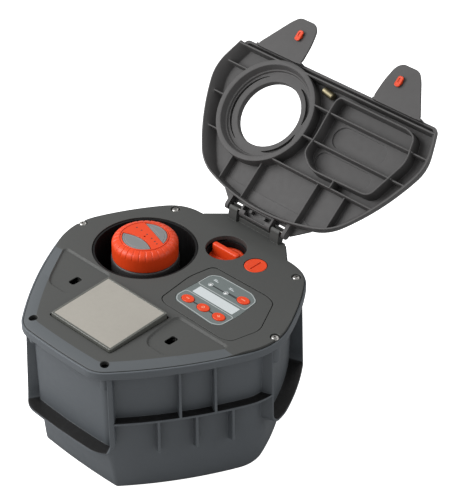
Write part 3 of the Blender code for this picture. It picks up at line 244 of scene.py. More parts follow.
def pillow(poly, z0, z1, soft=0.5, low=True):
    """Prism with a rounded top edge, and a rounded foot edge when low is set."""
    rings = []
    if low:
        rings += [level(grown(poly, -soft), z0), level(grown(poly, -0.3 * soft), z0 + 0.3 * soft)]
    rings.append(level(poly, z0 + soft if low else z0))
    rings += [level(poly, z1 - soft), level(grown(poly, -0.3 * soft), z1 - 0.3 * soft),
              level(grown(poly, -soft), z1)]
    return loft(rings)


def remove(ob):
    mesh = ob.data
    bpy.data.objects.remove(ob, do_unlink=True)
    bpy.data.meshes.remove(mesh)


def boolean(target, tools, kind):
    group = bpy.data.collections.new("cutters")
    SCENE.collection.children.link(group)
    for tool in tools:
        SCENE.collection.objects.unlink(tool)
        group.objects.link(tool)
    mod = target.modifiers.new("b", "BOOLEAN")
    mod.operation, mod.solver = kind, "EXACT"
    mod.operand_type = "COLLECTION"
    mod.collection = group
    graph = bpy.context.evaluated_depsgraph_get()
    mesh = bpy.data.meshes.new_from_object(target.evaluated_get(graph))
    target.modifiers.remove(mod)
    old, target.data = target.data, mesh
    bpy.data.meshes.remove(old)
    for tool in tools:
        remove(tool)
    bpy.data.collections.remove(group)
    tidy(mesh, weld=True)
    return target


def cut(target, *tools):
    return boolean(target, tools, "DIFFERENCE")


def add(target, *tools):
    return boolean(target, tools, "UNION")


def joined(obs):
    """Several closed solids as one mesh."""
    bm = bmesh.new()
    for ob in obs:
        bm.from_mesh(ob.data)
    mesh = bpy.data.meshes.new("joined")
    bm.to_mesh(mesh)
    bm.free()
    for ob in obs:
        remove(ob)
    return link(bpy.data.objects.new("joined", mesh))


def side_span(side, near, far):
    """x range between two distances from the middle, on the right (1) or left (-1)."""
    return sorted((side * near, side * far))


# ------------------------------------------------------------------ plan outline
def side_circle(start, end, sag):
    """Centre and radius of the circle through both ends that rises sag over the chord."""
    start, end = Vector(start), Vector(end)
    chord = end - start
    length = chord.length
    radius = (length * length / 4 + sag * sag) / (2 * sag)
    inward = Vector((-chord.y, chord.x)) / length
    return (start + end) / 2 + inward * (radius - sag), radius


def meet(centre1, radius1, centre2, radius2, near):
    """The crossing of two circles that lies nearer to a point."""
    gap = centre2 - centre1
    dist = gap.length
    along = (radius1 * radius1 - radius2 * radius2 + dist * dist) / (2 * dist)
    height = math.sqrt(max(radius1 * radius1 - along * along, 0.0))
    foot = centre1 + gap * (along / dist)
    off = Vector((-gap.y, gap.x)) / dist * height
    return min((foot + off, foot - off), key=lambda p: (p - near).length)


def outline(inset, corners=RIM_CORNERS, bulge=RIM_BULGE, rounding=RIM_ROUND, side_steps=RIM_STEPS,
            corner_steps=CORNER_STEPS):
    """Plan of bulging sides and rounded corners, set in by one amount or one for each side."""
    points = [Vector(c) for c in corners]
    count = len(points)
    insets = inset if isinstance(inset, tuple) else (inset,) * count
    arcs = []
    for i in range(count):
        centre, radius = side_circle(points[i], points[(i + 1) % count], bulge[i])
        arcs.append((centre, radius - insets[i]))
    tips = [meet(*arcs[i - 1], *arcs[i], points[i]) for i in range(count)]
    runs = []
    for i in range(count):
        turn = (points[i] - points[i - 1]).angle(points[(i + 1) % count] - points[i])
        runs.append(max(rounding[i] - (insets[i - 1] + insets[i]) / 2 * math.tan(turn / 2), 2.0))

    def angle_on(k, point):
        centre = arcs[k][0]
        return math.atan2(point.y - centre.y, point.x - centre.x)

    def along(k, start, dist):
        centre, radius = arcs[k]
        angle = angle_on(k, start) + dist / radius
        return centre + radius * Vector((math.cos(angle), math.sin(angle)))

    poly = []
    for i in range(count):
        j = (i + 1) % count
        leave = along(i, tips[i], runs[i])
        poly += curve(along(i - 1, tips[i], -runs[i]), tips[i], leave, corner_steps)
        centre, radius = arcs[i]
        start = angle_on(i, leave)
        end = angle_on(i, along(i, tips[j], -runs[j]))
        while end < start:
            end += 2 * math.pi
        for step in range(1, side_steps[i]):
            angle = start + (end - start) * step / side_steps[i]
            poly.append((centre.x + radius * math.cos(angle), centre.y + radius * math.sin(angle)))
    return poly


# number of the first outline point of each corner, then the number of points in all
*START, RIM_POINTS = [sum(RIM_STEPS[:k]) + k * CORNER_STEPS for k in range(7)]
# outline point numbers, with fractions, where each side's pocket begins and the last one ends
POSTS = [START[0] - 0.51, START[1] + CORNER_STEPS + 0.51, START[2] + 6.0, START[3] + 1.8,
         START[4] + CORNER_STEPS - 1.8, START[5] + 6.0]
rim_cache = {}


def rim(inset):
    key = inset if isinstance(inset, tuple) else round(inset, 3)
    if key not in rim_cache:
        rim_cache[key] = outline(inset=key if isinstance(key, tuple) else inset)
    return rim_cache[key]


def rim_at(place, inset):
    """Point on the inset rim at a fractional outline point number."""
    ring = rim(inset)
    i = int(math.floor(place)) % RIM_POINTS
    t = place - math.floor(place)
    a, b = ring[i], ring[(i + 1) % RIM_POINTS]
    return a[0] + (b[0] - a[0]) * t, a[1] + (b[1] - a[1]) * t


def pocket_span(k):
    start, end = POSTS[k], POSTS[(k + 1) % 6]
    return start, end + RIM_POINTS if end < start else end


def share(start, end, fraction):
    """Outline point number at a fraction of the length along the rim from start to end."""
    steps = 160
    path = [rim_at(start + (end - start) * i / steps, 0.4) for i in range(steps + 1)]
    run = [0.0]
    for p, q in zip(path, path[1:]):
        run.append(run[-1] + math.dist(p, q))
    goal = fraction * run[-1]
    i = next(i for i in range(steps) if run[i + 1] >= goal)
    return start + (end - start) * (i + (goal - run[i]) / (run[i + 1] - run[i])) / steps


def lean(z):
    """Inset of the frames and ribs on the tub's outside at a height."""
    return 0.3 + LEAN * min(max((z - POCKET_Z) / (RIM_LOW - POCKET_Z), 0.0), 1.0)


def plus(insets, distance):
    return tuple(round(v + distance, 3) for v in insets)


# ------------------------------------------------------------------ materials
class Shader:
    """A new material, with short calls that add nodes and return their output sockets."""

    def __init__(self, name):
        self.material = bpy.data.materials.new(name)
        self.material.use_nodes = True
        self.tree = self.material.node_tree

    def fill(self, node, inputs):
        for key, value in inputs.items():
            socket = node.inputs[key]
            if hasattr(value, "is_output"):
                self.tree.links.new(value, socket)
            else:
                socket.default_value = (*value, 1.0) if socket.type == "RGBA" else value

    def node(self, kind, inputs, output, **attrs):
        node = self.tree.nodes.new("ShaderNode" + kind)
        for key, value in attrs.items():
            setattr(node, key, value)
        self.fill(node, inputs)
        return node.outputs[output]

    @cached_property
    def coords(self):
        return self.node("TexCoord", {}, "Object")

    def noise(self, scale, detail=3.0, rough=0.55, vector=None):
        return self.node("TexNoise", {"Vector": vector or self.coords, "Scale": scale,
                                      "Detail": detail, "Roughness": rough}, "Fac")

    def math(self, operation, a, b=0.0, clamp=False):
        return self.node("Math", {0: a, 1: b, 2: 0.0}, 0, operation=operation, use_clamp=clamp)

    def add(self, a, b, clamp=False):
        return self.math("ADD", a, b, clamp)

    def sub(self, a, b):
        return self.math("SUBTRACT", a, b)

    def mul(self, a, b, clamp=False):
        return self.math("MULTIPLY", a, b, clamp)

    def swing(self, noise, amount):
        """Noise centred on zero and scaled."""
        return self.mul(self.sub(noise, 0.5), amount)

    def drift(self, first, second, third):
        """Mix factor round 0.5 from three (noise, amount) layers."""
        total = self.add(self.swing(*first), self.swing(*second))
        return self.add(self.add(total, self.swing(*third)), 0.5, clamp=True)

    def remap(self, value, low, high, to_low=0.0, to_high=1.0):
        return self.node("MapRange", {"Value": value, "From Min": low, "From Max": high,
                                      "To Min": to_low, "To Max": to_high}, "Result")

    def mix(self, fac, a, b):
        return self.node("Mix", {0: fac, 6: a, 7: b}, 2, data_type="RGBA")

    def geometry(self, output):
        return self.node("NewGeometry", {}, output)

    def axis(self, vector, letter):
        return self.node("SeparateXYZ", {0: vector}, letter)

    def edge(self, radius):
        """0 on flats, up to 1 on sharp edges, and the rounded normal."""
        gain = 7.0
        normal = self.node("Bevel", {"Radius": radius}, "Normal", samples=4)
        same = self.node("VectorMath", {0: normal, 1: self.geometry("Normal")}, "Value",
                         operation="DOT_PRODUCT")
        return self.mul(self.sub(1.0, same), gain, clamp=True), normal

    def bump(self, height, strength, distance, normal):
        return self.node("Bump", {"Height": height, "Strength": strength, "Distance": distance,
                                  "Normal": normal}, "Normal")

    def finish(self, **inputs):
        """Set the surface's inputs, underscores standing for spaces; return the material."""
        self.fill(self.tree.nodes["Principled BSDF"],
                  {key.replace("_", " "): value for key, value in inputs.items()})
        return self.material


def shade(colour, factor):
    return tuple(min(max(v * factor, 0.0), 1.0) for v in colour)


def plastic(name, colour, rough, grain, bump, vary, edge_highlight, radius=0.0006, spec=0.5, light=None,
            ledge_shade=None, hollow=0.0, border=None):
    """Moulded plastic: fine grain, slow colour drift, speckle, painted highlights on the edges, and
    optional painted shade on low upward faces and in hollows and painted light on a sloping margin.
    """
    mat = Shader(name)
    slow, mid, fine = mat.noise(14.0), mat.noise(170.0, 4), mat.noise(grain, 2)
    tint = mat.mix(mat.drift((slow, vary * 2.2), (mid, vary), (fine, vary * 0.9)),
                   shade(colour, 0.72), shade(colour, 1.28))
    if ledge_shade is not None:
        # painted shade: upward faces below 130 mm are darkened towards near black, standing in for
        # the shade under the rim and ribs on the pocket floors and ledges
        up = mat.remap(mat.axis(mat.geometry("Normal"), "Z"), 0.55, 0.8)
        below = mat.math("LESS_THAN", mat.axis(mat.coords, "Z"), 0.130)
        amount = mat.mul(mat.mul(up, below), mat.remap(mid, 0.2, 0.5, 0.9, 1.0))
        tint = mat.mix(amount, tint, ledge_shade)
    if border is not None:
        # painted light: the gently sloping front margin is given a paler, bluer colour for the
        # different light its slope catches
        slope = mat.axis(mat.geometry("True Normal"), "Z")
        amount = mat.mul(mat.math("LESS_THAN", slope, 0.9965),
                         mat.math("GREATER_THAN", slope, 0.90))
        front = mat.math("LESS_THAN", mat.axis(mat.coords, "Y"), -0.0455)
        tint = mat.mix(mat.mul(amount, front), tint, border)
    if hollow:
        # painted shade: darker where the surroundings close in
        openness = mat.node("AmbientOcclusion", {"Distance": 0.022}, "AO", samples=4)
        tint = mat.mix(mat.remap(openness, 0.15, 0.80, hollow, 0.0), tint, shade(colour, 0.12))
    edge, normal = mat.edge(radius)
    edge = mat.mul(edge, mat.remap(mid, 0.3, 0.65, 0.55, 1.0))
    height = mat.add(fine, mat.mul(mat.noise(grain * 0.35, 2), 0.8))
    # painted highlight: edges are mixed towards a paler colour, standing in for the light they
    # catch
    return mat.finish(
        Base_Color=mat.mix(mat.mul(edge, edge_highlight), tint, light or shade(colour, 2.4)),
        Roughness=mat.sub(mat.add(rough, mat.swing(mid, 0.22)), mat.mul(edge, 0.08)),
        Specular_IOR_Level=spec,
        Normal=mat.bump(height, bump, 0.00006, normal))


def metal(name, colour, rough, scratch):
    """Brushed metal: scratch lines crowded along z, blotches and a painted highlight on the edges.
    """
    mat = Shader(name)
    stretched = mat.node("Mapping", {"Vector": mat.coords, "Scale": (1, 1, 8)}, "Vector")
    lines = mat.noise(scratch, 4, 0.6, stretched)
    edge, normal = mat.edge(0.0003)
    tint = mat.mix(mat.remap(mat.noise(120.0), 0.3, 0.7), shade(colour, 0.8), shade(colour, 1.15))
    # painted highlight: the edges are mixed towards a paler colour
    return mat.finish(
        Base_Color=mat.mix(mat.mul(edge, 0.4), tint, shade(colour, 1.4)),
        Metallic=1.0,
        Roughness=mat.add(rough, mat.swing(lines, 0.25)),
        Normal=mat.bump(lines, 0.12, 0.00004, normal))


def solar_material():
    """Matt sheet over the cell: warm grey, faint stripes, speckle and cloudy drift."""
    stripe_pitch, margin = 0.0062, 2.5
    mat = Shader("solar_sheet")
    fine, mid, slow = mat.noise(2200, 2), mat.noise(240, 5, 0.65), mat.noise(22)
    tint = mat.mix(mat.drift((fine, 0.28), (mid, 0.28), (slow, 0.30)),
                   (0.27, 0.255, 0.225), (0.40, 0.380, 0.340))
    along = mat.axis(mat.coords, "X")
    stripe = mat.sub(mat.math("FRACT", mat.mul(along, 1 / stripe_pitch)), 0.5)
    stripe = mat.remap(mat.math("ABSOLUTE", stripe), 0.0, 0.035, 1.0, 0.0)
    tint = mat.mix(mat.mul(stripe, 0.06), tint, (0.2, 0.19, 0.17))
    # margin round the cell: darker and glossier than the matt sheet
    across = mat.sub(mat.axis(mat.coords, "Y"), SOLAR_Y * MM)
    past_x = mat.sub(mat.math("ABSOLUTE", along), (SOLAR_W / 2 - margin) * MM)
    past_y = mat.sub(mat.math("ABSOLUTE", across), (SOLAR_D / 2 - margin) * MM)
    border = mat.math("GREATER_THAN", mat.math("MAXIMUM", past_x, past_y), 0.0)
    tint = mat.mix(border, tint, (0.105, 0.108, 0.098))
    edge, normal = mat.edge(0.0005)
    # painted highlight: the sheet's edges are mixed towards a paler grey
    return mat.finish(
        Base_Color=mat.mix(mat.mul(edge, 0.35), tint, (0.42, 0.41, 0.38)),
        Roughness=mat.sub(mat.add(0.36, mat.swing(mid, 0.2)), mat.mul(border, 0.18)),
        Specular_IOR_Level=0.4,
        Normal=mat.bump(fine, 0.12, 0.00004, normal))


# key, name, colour, roughness, grain scale, bump strength, colour variation, painted edge
# highlight, others
PLASTICS = (
    # tub: the near-black colour for low upward faces is painted shade, and the darkening in hollows
    # is painted shade
    ("tub", "tub_grained", (0.096, 0.107, 0.118), 0.50, 1300, 0.32, 0.10, 0.40,
     dict(radius=0.0009, spec=0.4, ledge_shade=(0.004, 0.0035, 0.0035), hollow=0.35)),
    # deck: the darkening in hollows is painted shade, and the paler, bluer colour of the sloping
    # front margin is painted light
    ("deck", "deck_grained", (0.061, 0.0625, 0.060), 0.58, 1700, 0.30, 0.10, 0.28,
     dict(spec=0.4, hollow=0.55, border=(0.088, 0.097, 0.104))),
    # lid: a strong painted highlight on the edges and a little painted shade in hollows
    ("lid", "lid_grained", (0.080, 0.078, 0.078), 0.60, 1500, 0.28, 0.09, 0.70,
     dict(radius=0.0009, spec=0.3, hollow=0.12)),
    ("black", "black_moulded", (0.005, 0.005, 0.0055), 0.6, 1500, 0.3, 0.12, 0.3, dict(spec=0.25)),
    ("sleeve", "sleeve_moulded", (0.046, 0.043, 0.044), 0.45, 1600, 0.2, 0.1, 0.3, {}),
    # orange: light is the pale orange of its painted edge highlight
    ("orange", "orange_moulded", (0.72, 0.056, 0.010), 0.36, 1500, 0.10, 0.05, 0.30,
     dict(spec=0.35, light=(1.0, 0.24, 0.11))),
    ("insert", "insert_grey", (0.190, 0.195, 0.196), 0.55, 1300, 0.35, 0.10, 0.30, {}),
    ("label", "label_film_grey", (0.136, 0.160, 0.158), 0.42, 2600, 0.08, 0.05, 0.1,
     dict(radius=0.0002)),
    ("white", "label_print_white", (0.56, 0.60, 0.61), 0.45, 2600, 0.06, 0.03, 0.05,
     dict(radius=0.0001)),
    ("line", "label_print_grey", (0.40, 0.43, 0.43), 0.45, 2600, 0.06, 0.03, 0.05,
     dict(radius=0.0001)),
    ("ink", "label_print_dark", (0.025, 0.03, 0.032), 0.42, 2600, 0.06, 0.05, 0.05,
     dict(radius=0.0001)),
    ("pale", "raised_pale", (0.90, 0.34, 0.22), 0.40, 2600, 0.06, 0.05, 0.05,
     dict(radius=0.0001)),
    ("rubber", "rubber_seal", (0.014, 0.014, 0.014), 0.8, 900, 0.3, 0.15, 0.15, {}),
    ("led", "light_pipe", (0.80, 0.81, 0.80), 0.18, 1500, 0.05, 0.03, 0.2, {}),
    ("board", "solder_mask", (0.015, 0.14, 0.055), 0.32, 1200, 0.2, 0.12, 0.2, {}),
    ("cell", "battery_sleeve", (0.07, 0.17, 0.24), 0.3, 900, 0.05, 0.06, 0.2, {}),
    ("wafer", "cell_wafer", (0.02, 0.025, 0.06), 0.25, 600, 0.05, 0.2, 0.2, {}),
)
# key, name, colour, roughness, scratch scale
METALS = (
    ("steel", "bright_steel", (0.46, 0.45, 0.43), 0.30, 900.0),
    ("dark_steel", "dark_screw", (0.03, 0.03, 0.03), 0.4, 900.0),
    ("spring", "spring_wire", (0.48, 0.48, 0.48), 0.3, 900.0),
    ("brass", "aged_brass", (0.24, 0.21, 0.135), 0.50, 500),
)
MATERIALS = {key: plastic(*values, **others) for key, *values, others in PLASTICS}
MATERIALS.update({key: metal(*values) for key, *values in METALS})
MATERIALS["solar"] = solar_material()


# ------------------------------------------------------------------ finishing a piece
TO_HINGE = Vector((0, HINGE_Y, HINGE_Z)) * MM
SHUT_TO_OPEN = (Matrix.Translation(TO_HINGE) @ Matrix.Rotation(math.radians(-LID_OPEN), 4, "X")
                @ Matrix.Translation(-TO_HINGE))


def paint(ob, material):
    ob.data.materials.clear()
    ob.data.materials.append(MATERIALS[material])
    for face in ob.data.polygons:
        face.material_index = 0


def piece(ob, name, body, material, replaces=None, smooth=38, lid=False):
    """Name and paint a piece, set its smoothing and attach it to its body, hiding the CAD part it
    replaces; lid pieces are turned open, smooth is in degrees.
    """
    ob.name = ob.data.name = name
    if lid:
        ob.data.transform(SHUT_TO_OPEN)
    paint(ob, material)
    ob.data.shade_smooth()
    ob.data.set_sharp_from_angle(angle=math.radians(smooth))
    weighted = ob.modifiers.new("weighted", "WEIGHTED_NORMAL")
    weighted.keep_sharp = True
    weighted.weight = 60
    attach(ob, body)
    if replaces:
        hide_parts(replaces)


# CAD pieces that stay, only painted
KEPT = {
    "rubber": ("deck_seal",),
    "board": ("circuit_board",),
    "black": ("well_cup", "water_body", "valve_mount", "battery_tray", "riser_tube",
              "inlet_nipple"),
    "steel": ("valve_motor", "head_motor"),
    "cell": ("battery_1", "battery_2", "battery_3"),
    "insert": ("riser_bush", "head_shaft", "drive_gear", "filter_basket", "spray_nozzle"),
    "spring": ("riser_spring",),
    "brass": ("drive_pinion",),
    "wafer": ("solar_cell",),
    "led": ("led_pipe_1", "led_pipe_2"),
    "sleeve": ("head_sleeve",),
}
for material, names in KEPT.items():
    for name in names:
        paint(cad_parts[name], material)


# ------------------------------------------------------------------ base tub
def tub_wall():
    """Shell from the foot up the outside, over the rim and down the inside."""
    return stack(rim, (
        (plus(WALL_FOOT, 3.0), 0.0), (plus(WALL_FOOT, 1.3), 0.5), (plus(WALL_FOOT, 0.4), 1.6),
        (WALL_FOOT, 3.4), (WALL_MID, POCKET_Z), (WALL_TOP, RIM_LOW), (0.9, RIM_LOW + 0.01),
        (0.3, RIM_LOW + 0.5), (0.0, RIM_LOW + 1.4), (0.0, RIM_TOP - 0.9), (0.25, RIM_TOP - 0.25),
        (0.9, RIM_TOP), (1.9, RIM_TOP), (1.9, LEDGE_Z), (plus(WALL_TOP, WALL_T), LEDGE_Z - 0.01),
        (plus(WALL_TOP, WALL_T), RIM_LOW), (plus(WALL_MID, WALL_T), POCKET_Z),
        (plus(WALL_FOOT, WALL_T), 4.0)))


def u_frame(k):
    """U-shaped frame standing out from side k, its legs rising to the rim."""
    start, end = pocket_span(k)
    length = math.dist(rim_at(start, 0), rim_at(end, 0))
    low, high, radius, width = POCKET_Z, RIM_LOW + 1.0, 12.0, 2.8

    def route(off):
        """(distance along the side, z) down one leg and up the other, off mm inside the U."""
        bend = radius - off
        turns = [math.radians(90 * i / 8) for i in range(1, 8)]
        path = [(off, high), (off, low + radius)]
        path += [(off + bend - bend * math.cos(q), low + off + bend - bend * math.sin(q))
                 for q in turns]
        path += [(radius + (length - 2 * radius) * i / 14, low + off) for i in range(15)]
        path += [(length - off - bend + bend * math.sin(q),
                  low + off + bend - bend * math.cos(q)) for q in turns]
        return path + [(length - off, low + radius), (length - off, high)]

    def put(spot, inset):
        return (*rim_at(start + (end - start) * spot[0] / length, inset), spot[1])

    rings = []
    for spots in zip(route(0.0), route(0.5), route(width - 0.5), route(width)):
        face = [put(spot, lean(spot[1]) + back)
                for spot, back in zip(spots, (0.7, 0.05, 0.05, 0.7))]
        rings.append(face + [put(spots[3], WALL_DEEP), put(spots[0], WALL_DEEP)])
    return loft(rings)


def rib(place, z0, z1, foot=0.0):
    """Upright rib across the outside of the wall, its foot drawn down towards the wall."""
    half = 1.25
    x, y = rim_at(place, 0.0)
    x_in, y_in = rim_at(place, WALL_DEEP)
    inward = Vector((x_in - x, y_in - y))
    depth = inward.length
    inward.normalize()
    across = Vector((-inward.y, inward.x))
    # (depth from the rim, z)
    profile = [(lean(z1) + 0.2, z1), (lean(z0) + 0.2, z0 + 0.5), (lean(z0) + 0.7, z0),
               (depth - 1.0, z0 - foot), (depth, z0 - foot), (depth, z1)]
    rings = []
    # position over the rib's half width, setback of the nose
    for part, setback in ((-1.0, 0.45), (-0.65, 0.1), (0.0, 0.0), (0.65, 0.1), (1.0, 0.45)):
        ring = []
        for i, (q, z) in enumerate(profile):
            q = q + (setback if i < 3 else 0)
            ring.append((x + inward.x * q + part * half * across.x,
                         y + inward.y * q + part * half * across.y, z))
        rings.append(ring)
    return loft(rings)


def flange(start, end):
    """Level band along a side at FLANGE_Z."""
    crest, lip, back = [[rim_at(start + (end - start) * i / 24, inset) for i in range(25)]
                        for inset in (lean(FLANGE_Z) + 0.1, lean(FLANGE_Z) + 0.5, WALL_DEEP)]
    back = back[::-1]
    return loft([level(lip + back, FLANGE_Z), level(crest + back, FLANGE_Z + 0.5),
                 level(crest + back, FLANGE_Z + 2.0), level(lip + back, FLANGE_Z + 2.5)])


def tub_body():
    tools = [u_frame(k) for k in (0, 2, 4)]
    # places of the ribs below the flange, as fractions of the side
    for k, lower in ((1, (0.265, 0.50, 0.73)), (3, (0.2, 0.8)), (5, (0.265, 0.50, 0.73))):
        start, end = pocket_span(k)
        tools.append(flange(start, end))
        tools += [rib(share(start, end, f), FLANGE_Z + 1.0, RIM_LOW + 1.0) for f in (0.40, 0.62)]
        tools += [rib(share(start, end, f), POCKET_Z - 1.3, FLANGE_Z + 1.0, foot=6.0)
                  for f in lower]
    # shelf behind the rim at the back, screw bosses, and the cup under the filter knob
    tools.append(prism([(-58.2, 97.6), (58.2, 97.6), (39.0, 116.0), (-39.0, 116.0)],
                       RIM_LOW + 0.4, RIM_TOP - 0.2))
    for side in SIDES:
        for x, y in SCREWS:
            tools.append(turned(side * x, y, [(3.4, 127.0), (4.6, 127.5), (5.0, 128.6),
                                              (5.0, LEDGE_Z - 0.03)], 28))
    tools.append(turned(KNOB_X, KNOB_Y, [(17.0, 106.0), (25.0, 120.0), (25.0, RIM_LOW + 0.6)], 48))
    tub = add(tub_wall(), *tools)

    inlet = circle(INLET_X, INLET_Z, INLET_R, 40)
    tools = [prism([(-57.6, 80.0), (57.6, 80.0), (57.2, 97.0), (38.4, 114.2), (-38.4, 114.2),
                    (-57.2, 97.0)], LEDGE_Z, 170.0),
             turned(KNOB_X, KNOB_Y, [(14.6, 100.0), (14.6, 107.0), (22.6, 121.0), (22.6, 170.0)],
                    48),
             loft([[(x, y, z) for x, z in inlet] for y in (110.0, 60.0)])]
    tools += [cylinder(side * x, y, 2.2, 131.0, 170.0, 20) for side in SIDES for x, y in SCREWS]
    return cut(tub, *tools)


piece(tub_body(), "tub_moulding", "base", "tub", "base_tub")


# ------------------------------------------------------------------ deck
def deck_drop(y):
    """Fall of the deck's edge, growing to 2 mm towards the front."""
    return 2.0 * min(max((-42.0 - y) / 4.0, 0.0), 1.0)


def tab_recess(side):
    """Flared recess that takes one front tab of the lid."""
    tab = [(46.3, -41.8), (47.2, -66.0), (50.4, -83.0), (56.6, -89.6), (79.4, -89.6),
           (87.0, -81.4), (112.0, -41.8)]
    poly = soften([(side * x, y) for x, y in tab], 6.0)[::side]
    wide = grown(poly, 1.9)
    return loft([level(poly, DECK_Z - 1.8), level(wide, DECK_Z + 0.1), level(wide, 170)])


def hinge_hook(side):
    """Round-headed bracket with a slot from above for the hinge pin."""
    x0, x1 = side_span(side, 23.0, 34.0)
    profile = [(108.9, DECK_Z - 1.5), (115.2, DECK_Z - 1.5)]
    for i in range(25):
        angle = math.radians(-40 + 230 * i / 24)
        profile.append((HINGE_Y + 5.0 * math.cos(angle), HINGE_Z + 4.4 * math.sin(angle)))
    profile.append((108.9, DECK_Z + 6.0))
    bore = 2.25
    return cut(along_x(profile, x0, x1), rod(HINGE_Y, HINGE_Z, bore, x0 - 1, x1 + 1, 28),
               box(x0 - 1, x1 + 1, HINGE_Y - bore, HINGE_Y + bore, HINGE_Z, HINGE_Z + 9))


def deck_body():
    rings = [level(rim(2.3), DECK_LOW)]
    # inset, depth below DECK_Z, share of the front drop
    for inset, depth, part in ((2.3, 0.6, 1.0), (2.55, 0.15, 1.0), (3.0, 0.02, 0.97)):
        rings.append([(x, y, DECK_Z - depth - deck_drop(y) * part) for x, y in rim(inset)])
    rings.append(level(rim(14.0), DECK_Z))
    deck = add(
        loft(rings),
        prism([(-57.2, 90.0), (57.2, 90.0), (56.8, 97.0), (38.0, 115.4), (-38.0, 115.4),
               (-56.8, 97.0)], RIM_TOP + 0.1, DECK_Z - 0.001),
        box(-21.5, 21.5, 111.4, 115.2, DECK_Z - 2.0, DECK_Z + 5.4),
        cylinder(PLUG_X, PLUG_Y, 13.6, 136.0, DECK_LOW + 1.0, 32),
        *[hinge_hook(side) for side in SIDES])

    # openings and recesses
    tools = [cylinder(HEAD_X, HEAD_Y, WELL_R, 140, 170, 128),
             cylinder(KNOB_X, KNOB_Y, KNOB_R, 140, 170, 72),
             turned(PLUG_X, PLUG_Y, [(8.4, 130), (8.4, 150.8), (PLUG_R + 0.5, 150.8),
                                     (PLUG_R + 0.5, 170)], 56),
             prism(rounded(-42.1, 42.1, SOLAR_Y - 38.0, SOLAR_Y + 38.0, 2.0), DECK_Z - 2.2, 170),
             prism(soften(grown(PANEL, 0.85), 7.0, 8), DECK_Z - 2.6, 170)]
    for side in SIDES:
        tools += [tab_recess(side), cylinder(side * LOCK_X, LOCK_Y, 7.4, 140, LOCK_ROOF)]
    deck = cut(deck, *tools)

    # an angled stop under each lock hole
    for y0, z0, z1 in ((LOCK_Y - 0.6, 147.6, 149.9), (LOCK_Y + 7.6, 148.2, 151.4)):
        deck = add(deck, *[box(side * LOCK_X - 3.4, side * LOCK_X - 0.4, y0, LOCK_Y + 8.8, z0, z1)
                           for side in SIDES])

    # lock slots and screw holes
    front = [(4.3, 140), (4.3, DECK_Z - 0.5), (5.0, DECK_Z + 0.3), (5.0, 170)]
    stepped = [(2.3, 140), (2.3, DECK_Z - 2.4), (4.7, DECK_Z - 2.4), (4.7, DECK_Z - 0.4),
               (5.5, DECK_Z + 0.3), (5.5, 170)]
    tools = []
    for side in SIDES:
        x = side * LOCK_X
        tools.append(prism(rounded(x - 3.9, x + 3.9, LOCK_Y - 6.4, LOCK_Y + 6.4, 2.5), 140, 170))
        for i, (x, y) in enumerate(SCREWS):
            tools.append(turned(side * x, y, stepped if i else front, 36))
    return cut(deck, *tools)


piece(deck_body(), "deck_moulding", "base", "deck", "deck_plate", smooth=30)


# ------------------------------------------------------------------ deck screws
def pan_screw(x, y):
    """Domed head with a six-lobed socket."""
    top = DECK_Z - 2.4 + 0.3
    screw = turned(x, y, [(1.8, 133.0), (1.8, top), (3.75, top), (3.9, top + 0.25),
                          (3.85, top + 0.8), (3.5, top + 1.4), (2.9, top + 1.85),
                          (2.1, top + 2.12), (1.45, top + 2.2)], 40)
    star = []
    for i in range(36):
        angle = 2 * math.pi * i / 36
        radius = 1.15 + 0.28 * math.cos(6 * angle)
        star.append((x + radius * math.cos(angle), y + radius * math.sin(angle)))
    return cut(screw, prism(star, top + 0.9, top + 5))


def deep_screw(x, y):
    """Smaller head, down on the ledge, with a hexagon socket."""
    top = LEDGE_Z + 0.1
    screw = turned(x, y, [(1.8, 133.0), (1.8, top), (3.4, top), (3.4, top + 0.7),
                          (2.6, top + 1.4), (1.3, top + 1.7)], 32)
    return cut(screw, cylinder(x, y, 1.1, top + 0.8, top + 5, 6))


places = [(i, side * x, y) for side in (-1, 1) for i, (x, y) in enumerate(SCREWS)]
for number, (i, x, y) in enumerate(places, 1):
    make, name, material = ((pan_screw, "pan_screw_%d", "steel") if i
                            else (deep_screw, "deep_screw_%d", "dark_steel"))
    piece(make(x, y), name % number, "base", material, "deck_screw_%d" % number,
          smooth=30)


# ------------------------------------------------------------------ solar sheet
def solar_ring(grow, lift):
    """Sheet outline on the plane that rises from front to back."""
    half_w, half_d = SOLAR_W / 2, SOLAR_D / 2
    poly = rounded(-half_w - grow, half_w + grow, SOLAR_Y - half_d - grow, SOLAR_Y + half_d + grow,
                   max(1.9 + grow, 0.4))
    rise = SOLAR_BACK_Z - SOLAR_FRONT_Z
    return [(x, y, SOLAR_FRONT_Z + rise * (y - (SOLAR_Y - half_d)) / SOLAR_D + lift)
            for x, y in poly]


# growth of the outline, lift off the sloping plane: rounded edge, then a shallow groove
SOLAR_RINGS = ((0, -0.8), (-0.12, -0.35), (-0.45, -0.08), (-0.9, 0.0), (-2.2, 0.0),
               (-2.45, -0.22), (-2.9, -0.24), (-3.3, -0.1))
foot = [(x, y, DECK_Z - 1.9) for x, y, z in solar_ring(0, 0)]
sheet = cut(loft([foot] + [solar_ring(*row) for row in SOLAR_RINGS]),
            box(-37.5, 37.5, SOLAR_Y - 33.3, SOLAR_Y + 33.3, DECK_Z - 5, DECK_Z - 0.4))
piece(sheet, "solar_sheet", "base", "solar", "solar_window", smooth=25)

# ------------------------------------------------------------------ control panel
plate = pillow(soften(PANEL, 7.0, 8), DECK_Z - 1.7, DECK_Z - 0.15, 0.35, low=False)
plate = cut(plate, prism(soften(grown(FILM, 0.35), 4.0, 5), DECK_Z - 0.9, 170))
holes = [prism(oval(x, y, BUTTON_A + 0.55, BUTTON_B + 0.55), 140, DECK_Z - 0.85)
         for x, y in BUTTONS]
holes += [cylinder(x, y, 1.9, 140, DECK_Z - 0.85, 20) for x, y in LEDS]
piece(cut(plate, *holes), "panel_moulding", "base", "deck", "control_plate",
      smooth=30)

